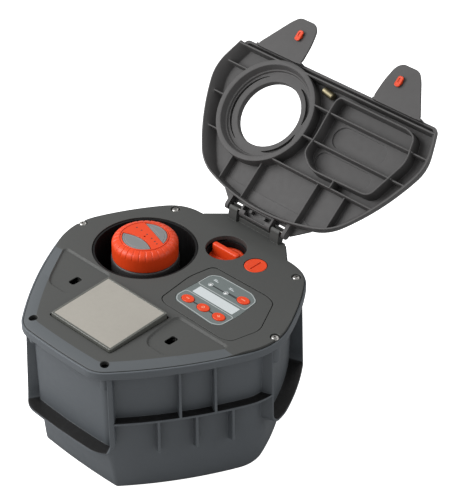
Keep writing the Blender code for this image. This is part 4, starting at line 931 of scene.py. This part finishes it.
film = prism(soften(FILM, 4.0, 5), DECK_Z - 0.6, DECK_Z - 0.10)
holes = [prism(oval(x, y, BUTTON_A + 0.4, BUTTON_B + 0.4), 140, 170) for x, y in BUTTONS]
holes += [cylinder(x, y, 1.7, 140, 170, 24) for x, y in LEDS]
piece(cut(film, *holes), "panel_film", "base", "label", "control_label")

# print on the film, from just inside it to just proud of it
PRINT_LOW, PRINT_TOP = DECK_Z - 0.11, DECK_Z + 0.01
OUTLINES = {
    "a": [(21.6, 8.6), (22.2, 26.8), (30.2, 32.0), (71.8, 32.7), (83.0, 26.6), (84.9, 9.2)],
    "b": [(21.8, -5.6), (20.9, -17.6), (26.4, -24.3), (76.6, -27.3), (84.2, -23.0), (85.6, -5.8)],
}
LINKS = ((41.0, 46.2, -16.1, -14.5), (61.4, 66.6, -16.1, -14.5), (35.2, 50.8, 15.1, 16.5),
         (55.2, 65.8, 16.0, 18.2))              # x0, x1, y0, y1
MARKS = ((30.0, 22.6, 6.0), (50.0, 22.8, 6.4))  # x, y, width


def print_on(ob, name, material):
    piece(ob, "print_" + name, "base", material)


for name, corners in OUTLINES.items():
    poly = soften(corners, 4.2, 6)
    inside = grown(poly, -0.8)
    line_top = DECK_Z + 0.02
    print_on(loft([level(poly, PRINT_LOW), level(poly, line_top), level(inside, line_top),
                   level(inside, PRINT_LOW)], closed=True), "outline_" + name, "line")
strip = soften([(28.0, -4.2), (28.0, 7.0), (80.4, 7.0), (80.4, -4.2)], 0.8, 3)
print_on(prism(strip, PRINT_LOW, DECK_Z + 0.03), "strip", "white")
print_on(joined([box(*area, PRINT_LOW, PRINT_TOP) for area in LINKS]), "links", "ink")
bars = []
for x, y, width in MARKS:
    bars += [box(x, x + width, y, y + 0.9, PRINT_LOW, PRINT_TOP),
             box(x, x + width * 0.6, y + 1.7, y + 2.5, PRINT_LOW, PRINT_TOP)]
print_on(joined(bars), "marks", "white")
print_on(joined([turned(x, y, [(2.6, PRINT_LOW), (2.6, DECK_Z + 0.02), (2.05, DECK_Z + 0.02),
                               (2.05, PRINT_LOW)], 32, closed=True) for x, y in LEDS]),
         "led_rings", "white")

# ------------------------------------------------------------------ keys
# half width, half depth, z: stem, then the head with a dished top
KEY_PROFILE = (
    (1.6, 1.6, 142.3), (1.6, 1.6, DECK_Z - 5.6), (BUTTON_A, BUTTON_B, DECK_Z - 5.59),
    (BUTTON_A, BUTTON_B, DECK_Z + 0.25), (BUTTON_A - 0.15, BUTTON_B - 0.15, DECK_Z + 0.55),
    (BUTTON_A - 0.5, BUTTON_B - 0.45, DECK_Z + 0.80),
    (BUTTON_A - 1.1, BUTTON_B - 1.0, DECK_Z + 0.92),
    (BUTTON_A - 1.5, BUTTON_B - 1.35, DECK_Z + 0.80),
    (BUTTON_A - 3.2, BUTTON_B - 2.7, DECK_Z + 0.72), (0.8, 0.6, DECK_Z + 0.70))
PLUS_SIGN = ((-1.9, -0.4), (-0.4, -0.4), (-0.4, -1.7), (0.4, -1.7), (0.4, -0.4), (1.9, -0.4),
             (1.9, 0.4), (0.4, 0.4), (0.4, 1.7), (-0.4, 1.7), (-0.4, 0.4), (-1.9, 0.4))


def key_mark(number, x, y):
    """Raised sign: 1 a dash, 2 a ring, 3 a plus, 4 a longer dash."""
    low, high = DECK_Z + 0.6, DECK_Z + 0.93
    if number == 2:
        return turned(x, y, [(1.7, low), (1.7, high), (1.0, high), (1.0, low)], 28, closed=True)
    if number == 3:
        return prism([(x + dx, y + dy) for dx, dy in PLUS_SIGN], low, high)
    half_x, half_y = (1.9, 0.4) if number == 1 else (2.6, 0.35)
    return box(x - half_x, x + half_x, y - half_y, y + half_y, low, high)


for number, (x, y) in enumerate(BUTTONS, 1):
    body = "push_%d" % number
    piece(stack(lambda a, b: oval(x, y, a, b), KEY_PROFILE), "key_%d" % number, body, "orange",
          "button_%d" % number, smooth=50)
    piece(key_mark(number, x, y), "key_mark_%d" % number, body, "pale")


# ------------------------------------------------------------------ sprinkler head
CAP_NOTCHES = 30
CAP_STEPS = CAP_NOTCHES * 14
INSERTS = ((-90.0, 5.0), (72.5, 10.8))  # direction in degrees, reach of the hollow inner edge


def notch(angle):
    """1 in the middle of a notch, 0 between notches."""
    wide, soft = 0.10, 0.07
    off = abs((angle * CAP_NOTCHES / (2 * math.pi)) % 1.0 - 0.5)
    return min(max((wide / 2 + soft - off) / soft, 0.0), 1.0)


def leaf(direction, radius, inner, half):
    """Sector of half degrees each way, its inner edge a curve that comes in to inner."""
    half = math.radians(half)
    poly = [(radius * math.sin(t), radius * math.cos(t))
            for t in [-half + 2 * half * i / 30 for i in range(31)]]
    end_x, end_y = poly[-1]
    for i in range(1, 20):
        t = i / 20
        poly.append((end_x * (1 - 2 * t), end_y - (end_y - inner) * (1 - (2 * t - 1) ** 2)))
    turn = math.radians(direction - 90.0)
    return [(HEAD_X + x * math.cos(turn) - y * math.sin(turn),
             HEAD_Y + x * math.sin(turn) + y * math.cos(turn)) for x, y in poly]


def cap_body():
    top = CAP_TOP
    # radius, z, share of the full notch depth
    profile = [(CAP_R, CAP_LOW + 0.5, 0), (CAP_R, top - 8.4, 0), (CAP_R, top - 7.6, 1),
               (32.9, top - 6.2, 1), (32.5, top - 4.8, 1), (31.7, top - 3.4, 1),
               (30.5, top - 2.2, 1), (28.8, top - 1.25, 1), (27.0, top - 0.65, 1),
               (25.6, top - 0.32, 0.5), (24.9, top - 0.22, 0), (24.7, top - 1.0, 0),
               (23.8, top - 1.0, 0), (23.6, top - 0.1, 0), (23.1, top, 0)]
    rings = []
    for i, (radius, z, part) in enumerate(profile):
        before, after = profile[max(i - 1, 0)], profile[min(i + 1, len(profile) - 1)]
        run, rise = after[0] - before[0], after[1] - before[1]
        length = math.hypot(run, rise) or 1.0
        out, up = rise / length, -run / length
        ring = []
        for step in range(CAP_STEPS):
            angle = 2 * math.pi * step / CAP_STEPS
            depth = 0.5 * part * notch(angle)
            r = radius - out * depth
            ring.append((HEAD_X + r * math.cos(angle), HEAD_Y + r * math.sin(angle),
                         z - up * depth))
        rings.append(ring)
    # centre hole and hollow underside
    for radius, z in ((1.2, top), (1.2, top - 3.2), (30.2, top - 3.4), (30.2, CAP_LOW + 0.05),
                      (32.6, CAP_LOW)):
        rings.append(level(circle(HEAD_X, HEAD_Y, radius, CAP_STEPS), z))
    return cut(loft(rings, closed=True),
               *[prism(leaf(direction, 22.6, inner - 0.4, 63.0), top - 1.5, top + 3)
                 for direction, inner in INSERTS])


piece(cap_body(), "cap_moulding", "head", "orange", "head_cap", smooth=32)
dots = []
for x in (-16.5, -9.7, -0.8, 7.4, 13.4, 17.8):
    y = -103.0 + math.sqrt(108.0 ** 2 - (x + 17.0) ** 2)  # on a wide arc across the cap
    dots.append(cylinder(HEAD_X + x, HEAD_Y + y, 0.85, CAP_TOP - 0.02, CAP_TOP + 0.05, 20))
piece(joined(dots), "cap_dots", "head", "ink")

# shrink of the insert's outline, depth below the cap's top
INSERT_PROFILE = ((0, 1.1), (0, 0.5), (0.25, 0.2), (0.8, 0.08), (1.6, 0.06), (1.85, 0.3),
                  (2.3, 0.3), (2.55, 0.06))
for number, (direction, inner) in enumerate(INSERTS, 1):
    insert = loft([level(leaf(direction, 22.1 - d, inner + 0.1 + d, 61.0 - 2.2 * d),
                         CAP_TOP - depth) for d, depth in INSERT_PROFILE])
    piece(insert, "insert_%d" % number, "head", "insert",
          "cap_insert_%d" % number, smooth=40)


def nozzle_hole():
    """Cylinder pointing outwards from the head's axis."""
    cos, sin = math.cos(NOZZLE_ANGLE), math.sin(NOZZLE_ANGLE)
    return loft([[(HEAD_X + reach * cos - NOZZLE_R * across * sin,
                   HEAD_Y + reach * sin + NOZZLE_R * across * cos, NOZZLE_Z + NOZZLE_R * up)
                  for across, up in circle(0, 0, 1, 24)] for reach in (20, 40)])


sleeve = turned(HEAD_X, HEAD_Y, [
    (SLEEVE_R - 0.4, SLEEVE_LOW), (SLEEVE_R, SLEEVE_LOW + 0.5), (SLEEVE_R, CAP_LOW - 5.2),
    (SLEEVE_R, CAP_LOW - 2.6), (SLEEVE_R - 0.15, CAP_LOW - 1.6), (SLEEVE_R - 0.6, CAP_LOW - 0.8),
    (SLEEVE_R - 1.2, CAP_LOW - 0.35), (SLEEVE_R - 1.8, CAP_LOW - 0.3), (10.4, CAP_LOW - 0.3),
    (10.4, CAP_LOW - 3.0), (SLEEVE_R - 2.4, CAP_LOW - 3.0), (SLEEVE_R - 2.4, SLEEVE_LOW)],
    112, closed=True)
piece(cut(sleeve, nozzle_hole()), "sleeve_moulding", "head", "sleeve",
      "head_sleeve", smooth=30)


# ------------------------------------------------------------------ filter knob
def grip_ring(half_x, half_y, radius):
    return rounded(KNOB_X - half_x, KNOB_X + half_x, KNOB_Y - half_y, KNOB_Y + half_y,
                   min(radius, half_y - 0.05), 8)


knob = turned(KNOB_X, KNOB_Y, [
    (9.6, 120.0), (9.6, 134.2), (18.6, 134.4), (19.2, 134.9), (19.4, 136.5),
    (19.4, KNOB_Z + 3.6), (19.2, KNOB_Z + 4.6), (18.6, KNOB_Z + 5.3), (17.8, KNOB_Z + 5.6),
    (16.6, KNOB_Z + 5.6), (16.2, KNOB_Z + 5.0), (15.2, KNOB_Z + 4.9), (4.0, KNOB_Z + 5.3)], 88)
# half length, half width, corner radius, z
grip = stack(grip_ring, (
    (17.9, 4.6, 3.4, KNOB_Z + 4.0), (17.7, 4.0, 3.2, KNOB_Z + 5.6),
    (17.6, 3.6, 2.9, KNOB_Z + 7.4), (17.5, 3.25, 2.8, DECK_Z - 4.2),
    (17.3, 3.1, 2.7, DECK_Z - 2.6), (16.9, 2.8, 2.5, DECK_Z - 1.7),
    (16.2, 2.2, 2.0, DECK_Z - 1.05), (15.3, 1.3, 1.2, DECK_Z - 0.8)))
piece(add(knob, grip), "filter_knob", "filter", "orange", "filter_cap",
      smooth=42)

# ------------------------------------------------------------------ drain plug
plug = turned(PLUG_X, PLUG_Y, [
    (8.1, 139.0), (8.1, 151.1), (PLUG_R, 151.1), (PLUG_R, DECK_Z - 1.0),
    (PLUG_R - 0.2, DECK_Z - 0.4), (PLUG_R - 0.7, DECK_Z - 0.05), (PLUG_R - 1.3, DECK_Z),
    (PLUG_R - 2.1, DECK_Z - 0.12), (PLUG_R - 2.6, DECK_Z - 0.35), (2.0, DECK_Z - 0.3)], 80)
plug = cut(plug, box(PLUG_X - 0.75, PLUG_X + 0.75, PLUG_Y - 7.4, PLUG_Y + 7.4, DECK_Z - 1.8, 170))
piece(plug, "drain_plug_cap", "plug", "orange", "drain_plug", smooth=35)

# ------------------------------------------------------------------ lid
LID_CORNERS = ((-128.6, LID_FRONT), (128.6, LID_FRONT), (142.0, -6.0), (88.5, 91.0),
               (-88.5, 91.0), (-142.0, -6.0))
LID_BULGE = (0.05, 0.5, 6.5, 17.0, 6.5, 0.5)
LID_ROUND = (6.0, 6.0, 15.0, 16.0, 16.0, 15.0)
LID_STEPS = (4, 8, 20, 32, 20, 8)
# ribs clipped to the inside of the lid: x0, y0, x1, y1, lift of the free edge, half thickness
EDGE_RIBS = (
    (116.0, -13.0, 138.0, -13.0, 3.6, 0.9), (112.0, 19.4, 134.0, 19.4, 3.6, 0.9),
    (-21.0, 54.4, 114.0, 54.4, 1.2, 0.9), (-64.0, 66.2, -64.0, 102.0, 5.5, 0.9),
    (-28.4, 59.2, -28.4, 106.0, 5.5, 0.9), (42.3, 54.0, 42.3, 106.0, 5.5, 0.9),
    (77.2, 54.0, 77.2, 99.0, 5.5, 0.9), (-138.0, -17.0, -101.0, -17.0, 4.2, 0.9),
    (-136.0, 17.6, -109.4, 17.6, 4.2, 0.9), (-115.0, 52.7, -92.6, 52.7, 4.2, 0.9),
    (-132.0, -38.4, 132.0, -38.4, 0.0, 1.0))
# ribs well inside: x0, y0, x1, y1, lift
INNER_RIBS = ((11.6, -13.0, 118.0, -13.0, 1.6), (-8.6, -13.0, 13.0, -13.0, 0.0),
              (12.0, 19.4, 113.5, 19.4, 1.6), (-3.4, 19.4, 12.6, 19.4, 0.0),
              (59.4, 46.6, 59.4, 54.8, 0.0))
# ring wall round the head: radius, z
RING_PROFILE = (
    (RING_R + 2.7, LID_SHEET + 0.5), (RING_R + 2.2, LID_LOW + 1.2), (RING_R + 1.85, LID_LOW + 0.35),
    (RING_R + 1.1, LID_LOW), (RING_R - 2.6, LID_LOW + 0.05), (RING_R - 3.3, LID_LOW + 0.5),
    (RING_R - 3.7, LID_LOW + 1.4), (RING_R - 5.6, LID_LOW + 6.6), (RING_R - 6.0, LID_LOW + 7.2),
    (RING_R - 6.9, LID_LOW + 7.5), (RING_R - 7.3, LID_LOW + 8.0), (RING_R - 7.6, LID_LOW + 9.6),
    (RING_R - 8.0, LID_LOW + 10.0), (36.9, LID_LOW + 10.0), (36.0, LID_LOW + 10.4),
    (LID_HOLE_R, LID_LOW + 11.2), (LID_HOLE_R, LID_SHEET + 0.5))
# closed wall over the control panel: plan, then growth and z of its section
LOOP = [(14.5, -32.4), (102.0, -32.2), (112.5, -27.5), (119.4, -2.0), (103.0, 45.4), (28.0, 47.6),
        (10.2, 34.0), (12.6, 16.0), (10.6, -14.0), (10.9, -27.0)]
LOOP_PROFILE = ((0.7, LID_SHEET + 0.5), (0.0, LID_LOW + 0.9), (-0.35, LID_LOW + 0.25),
                (-1.0, LID_LOW), (-1.65, LID_LOW + 0.25), (-2.0, LID_LOW + 0.9),
                (-2.9, LID_SHEET + 0.5))
LID_TAB = [(47.4, -43.2), (48.4, -66.0), (51.8, -82.0), (57.8, -88.0), (78.2, -88.0),
           (85.2, -80.3), (109.0, -43.2)]
# arc slots round the head: start and end in degrees, inner radius, outer radius at ends, middle
SLOTS = ((-64, -6, 41.2, 42.0, 45.6), (10, 66, 41.2, 42.0, 45.6), (118, 236, 42.6, 43.2, 45.4))


def lid_plan(ends, slopes):
    """Lid outline set in by ends at front and back and by slopes along the other sides."""
    return outline((ends, slopes, slopes, ends, slopes, slopes), LID_CORNERS, LID_BULGE,
                   LID_ROUND, LID_STEPS, 14)


def lid_rib(x0, y0, x1, y1, lift, half=0.9):
    """Rib with drafted sides and a rounded free edge, between two plan points."""
    draft, low, high = 0.55, LID_LOW + lift, LID_SHEET + 0.4
    start, end = Vector((x0, y0)), Vector((x1, y1))
    along = (end - start).normalized()
    across = Vector((-along.y, along.x))
    section = [(-half - draft, high), (-half, low + 0.8), (-0.6 * half, low + 0.18), (0, low),
               (0.6 * half, low + 0.18), (half, low + 0.8), (half + draft, high)]
    return loft([[(p.x + across.x * q, p.y + across.y * q, z) for q, z in section]
                 for p in (start, end)])


def lug(x0, x1, y0):
    """Round-nosed hinge lug reaching from y0 over the hinge axis."""
    profile = [(y0, LID_SHEET + 1.0), (y0, HINGE_Z - 4.6)]
    for i in range(25):
        angle = math.radians(-90 + 180 * i / 24)
        profile.append((HINGE_Y + 4.6 * math.cos(angle), HINGE_Z + 4.6 * math.sin(angle)))
    return along_x(profile, x0, x1)


def middle_lug():
    """Wide lug, hollowed from below, with two pegs in the hollow."""
    block = cut(lug(-20.5, 20.5, 106.0),
                box(-18.4, 18.4, 108.6, 113.2, HINGE_Z - 9, HINGE_Z + 2.6))
    block = cut(block, box(-14.0, 14.0, 112.0, 117.2, HINGE_Z - 9, HINGE_Z + 2.6))
    return add(block, *[cylinder(x, 111.0, 1.7, HINGE_Z - 3.4, HINGE_Z + 3.2, 20)
                        for x in (-9.0, 9.0)])


def track(x0, x1, y0, y1):
    """Long round-ended recess in the underside of the top sheet."""
    return prism(rounded(x0, x1, y0, y1, (y1 - y0) / 2 - 0.01, 14), LID_SHEET - 2, LID_SHEET + 1.5)


def arc_slot(start, end, r_in, r_ends, r_middle):
    outer, inner = [], []
    for i in range(27):
        angle = math.radians(start + (end - start) * i / 26)
        r_out = r_ends + (r_middle - r_ends) * math.sin(math.pi * i / 26)
        for edge, radius in ((outer, r_out), (inner, r_in)):
            edge.append((HEAD_X + radius * math.cos(angle), HEAD_Y + radius * math.sin(angle)))
    return prism(outer + inner[::-1], LID_LOW + 6.0, LID_LOW + 13.4)


def lid_body():
    low, sheet, top = LID_LOW, LID_SHEET, LID_TOP
    # stations: inset at front and back, inset of the other sides, z
    outside = stack(lid_plan, (
        (0.9, 0.9, low), (0.45, 0.6, low + 0.35), (0.4, 0.9, low + 1.2), (0.6, 4.4, sheet - 2.6),
        (0.9, 5.0, sheet - 1.0), (1.7, 5.9, sheet + 0.6), (3.2, 7.4, top - 0.6),
        (5.2, 9.4, top - 0.1), (8.0, 12.2, top)))
    inside = stack(lid_plan, (
        (2.2, 1.9, low - 1.0), (2.3, 2.3, low + 0.6), (2.6, 5.9, low + 4.4),
        (5.4, 10.2, sheet - 0.8), (6.4, 11.2, sheet - 0.15), (7.8, 12.8, sheet)))
    clip = stack(lid_plan, ((1.2, 1.4, low - 1.0), (1.2, 1.8, low + 1.2), (1.4, 5.2, sheet - 2.6),
                            (3.4, 7.4, sheet + 0.6)))
    lid = cut(outside, inside, box(-160, 160, -60.0, -40.6, low - 2, low + 5.5))

    first, *others = [lid_rib(*row) for row in EDGE_RIBS]
    parts = [boolean(add(first, *others), [clip], "INTERSECT")]
    parts += [lid_rib(*row) for row in INNER_RIBS]
    # two thicker patches of the sheet by the hinge
    parts.append(prism([(-76.0, 90.5), (36.0, 90.5), (60.0, 97.0), (52.0, 104.0), (0.0, 108.5),
                        (-52.0, 104.0)], sheet - 0.9, sheet + 0.4))
    parts.append(prism([(-60.0, 99.0), (60.0, 99.0), (41.0, 113.6), (-41.0, 113.6)],
                       sheet - 0.6, top - 0.5))
    parts.append(turned(HEAD_X, HEAD_Y, RING_PROFILE, 144, closed=True))
    loop = soften(LOOP, 9.0, 8)
    parts.append(stack(lambda growth: grown(loop, growth), LOOP_PROFILE, closed=True))
    parts.append(middle_lug())
    parts += [lug(*side_span(side, 36.6, 40.6), 103.2) for side in SIDES]
    lid = add(lid, *parts)

    tabs = []
    for side in SIDES:
        tab = soften([(side * x, y) for x, y in LID_TAB], 7.0, 8)
        tabs += [pillow(tab, DECK_Z - 1.2, DECK_Z + 1.6, 0.6),
                 box(*side_span(side, 47.6, 108.8), -45.8, -43.6, DECK_Z - 1.1, low + 7.0)]
    lid = add(lid, *tabs)

    tools = [cylinder(HEAD_X, HEAD_Y, LID_HOLE_R, 150, 190, 144), track(18.0, 88.0, 22.4, 41.0),
             track(22.0, 88.0, -9.6, 14.4)]
    tools += [arc_slot(*row) for row in SLOTS]
    # lock holes, pin bores and room for the deck's hooks
    for side in SIDES:
        tools += [cylinder(side * LOCK_X, LOCK_Y, 3.4, 140, 165, 32),
                  rod(HINGE_Y, HINGE_Z, 2.0, *side_span(side, 14.6, 39.4), 28),
                  box(*side_span(side, 22.4, 34.8), 107.9, 125.0, HINGE_Z - 12, HINGE_Z + 12)]
    return cut(lid, *tools)


piece(lid_body(), "lid_moulding", "lid", "lid", "lid_shell", smooth=32, lid=True)


# ------------------------------------------------------------------ lid locks, pins and magnet
def lock_body(x):
    """Quarter-turn lock: flange, stem and grip above, slotted oblong head below."""
    seat = DECK_Z + 1.6
    lock = add(turned(x, LOCK_Y, [(6.6, seat + 0.3), (6.6, seat + 1.9), (6.2, seat + 2.4),
                                  (5.6, seat + 2.4)], 48),
               turned(x, LOCK_Y, [(3.0, DECK_Z - 4.0), (3.0, seat + 1.5)], 36),
               pillow(rounded(x - 1.3, x + 1.3, LOCK_Y - 5.6, LOCK_Y + 5.6, 1.0, 5),
                      seat + 2.0, seat + 4.6, 0.5, low=False))
    # half width, half length, corner radius, z
    head = stack(lambda a, b, radius: rounded(x - a, x + a, LOCK_Y - b, LOCK_Y + b, radius, 7), (
        (1.6, 4.0, 1.2, DECK_Z - 4.35), (2.3, 4.7, 1.8, DECK_Z - 4.42),
        (2.75, 5.15, 2.1, DECK_Z - 4.5), (3.1, 5.5, 2.3, DECK_Z - 4.35),
        (3.3, 5.7, 2.4, DECK_Z - 4.0), (3.3, 5.7, 2.4, DECK_Z - 3.1)))
    slot = rounded(x - 1.0, x + 1.0, LOCK_Y - 3.8, LOCK_Y + 1.4, 0.9, 5)
    return cut(add(lock, head), prism(slot, DECK_Z - 12, DECK_Z - 3.7))


for side, name in ((-1, "left"), (1, "right")):
    pin = chamfered_rod(HINGE_Y, HINGE_Z, 1.9, *side_span(side, 15.0, 39.0), 36, 0.4)
    piece(pin, "pin_" + name, "lid", "steel", "hinge_pin_" + name, lid=True)
    piece(lock_body(side * LOCK_X), "lock_" + name, "lock_" + name, "orange",
          "lid_lock_" + name, smooth=40, lid=True)

magnet = chamfered_rod(0, 0, 3.9, -7.5, 7.5, 40, 0.9)
magnet.data.transform(Matrix.Translation(Vector((-6.3, -31.4, LID_SHEET - 4.3)) * MM)
                      @ Matrix.Rotation(math.radians(10), 4, "Z"))
piece(magnet, "magnet_rod", "lid", "brass", "lid_magnet", lid=True)


# ------------------------------------------------------------------ floor and world (metres)
def pale_floor():
    """Grey to the light, near white to the camera."""
    mat = Shader("pale_floor")
    seen = mat.node("LightPath", {}, "Is Camera Ray")
    return mat.finish(Base_Color=mat.mix(seen, (0.55, 0.55, 0.55), (0.62, 0.62, 0.62)),
                      Roughness=0.9, Specular_IOR_Level=0.1, Emission_Color=(1.0, 1.0, 1.0),
                      Emission_Strength=mat.mul(seen, 1.1))


HALF, FLOOR_Z = 3.0, -0.0003
floor_mesh = bpy.data.meshes.new("floor")
floor_mesh.from_pydata([(-HALF, -HALF, FLOOR_Z), (HALF, -HALF, FLOOR_Z), (HALF, HALF, FLOOR_Z),
                        (-HALF, HALF, FLOOR_Z)], [], [(0, 1, 2, 3)])
floor = link(bpy.data.objects.new("floor", floor_mesh))
floor_mesh.materials.append(pale_floor())

# the camera sees a white backdrop; the object is lit by a dimmer, even dome
DOME_LIGHT, BACKDROP = 0.50, 1.15
world = bpy.data.worlds.new("studio")
world.use_nodes = True
tree = world.node_tree
background = tree.nodes["Background"]
path = tree.nodes.new("ShaderNodeLightPath")
strength = tree.nodes.new("ShaderNodeMapRange")
strength.inputs["To Min"].default_value = DOME_LIGHT
strength.inputs["To Max"].default_value = BACKDROP
tree.links.new(path.outputs["Is Camera Ray"], strength.inputs["Value"])
tree.links.new(strength.outputs["Result"], background.inputs["Strength"])
background.inputs["Color"].default_value = (1.0, 1.0, 1.0, 1.0)
SCENE.world = world


# ------------------------------------------------------------------ lights and camera (metres)
def disk_light(name, place, target_z, size, power):
    """Disk lamp aimed at a point on the z axis."""
    light = bpy.data.lights.new(name, "AREA")
    light.shape, light.size, light.energy = "DISK", size, power
    ob = link(bpy.data.objects.new(name, light))
    ob.location = place
    aim = Vector((0, 0, target_z)) - Vector(place)
    ob.rotation_euler = aim.to_track_quat("-Z", "Y").to_euler()


disk_light("key", place=(-0.64, -0.64, 0.87), target_z=0.14, size=1.0, power=15.5)
disk_light("fill", place=(0.9, 0.5, 0.7), target_z=0.14, size=0.6, power=1.6)
disk_light("back", place=(-0.3, 1.2, 1.1), target_z=0.15, size=0.6, power=2.0)

# camera on the front right, looking down at its target
AZIMUTH, ELEVATION, ROLL = math.radians(44.12), math.radians(35.51), math.radians(0.2)
TARGET, DISTANCE = Vector((0.00447, 0.06742, 0.155)), 1.77193
lens = bpy.data.cameras.new("photo_camera")
lens.sensor_width, lens.lens = 36.0, 129.6
lens.clip_start, lens.clip_end = 0.05, 20.0
camera = link(bpy.data.objects.new("photo_camera", lens))
right = Vector((math.cos(AZIMUTH), math.sin(AZIMUTH), 0))
back = Vector((math.sin(AZIMUTH) * math.cos(ELEVATION), -math.cos(AZIMUTH) * math.cos(ELEVATION),
               math.sin(ELEVATION)))
turn = Matrix((right, back.cross(right), back)).transposed() @ Matrix.Rotation(ROLL, 3, "Z")
camera.matrix_world = Matrix.Translation(TARGET + back * DISTANCE) @ turn.to_4x4()
SCENE.camera = camera
SCENE.view_settings.view_transform = "Standard"
SCENE.view_settings.look = "None"
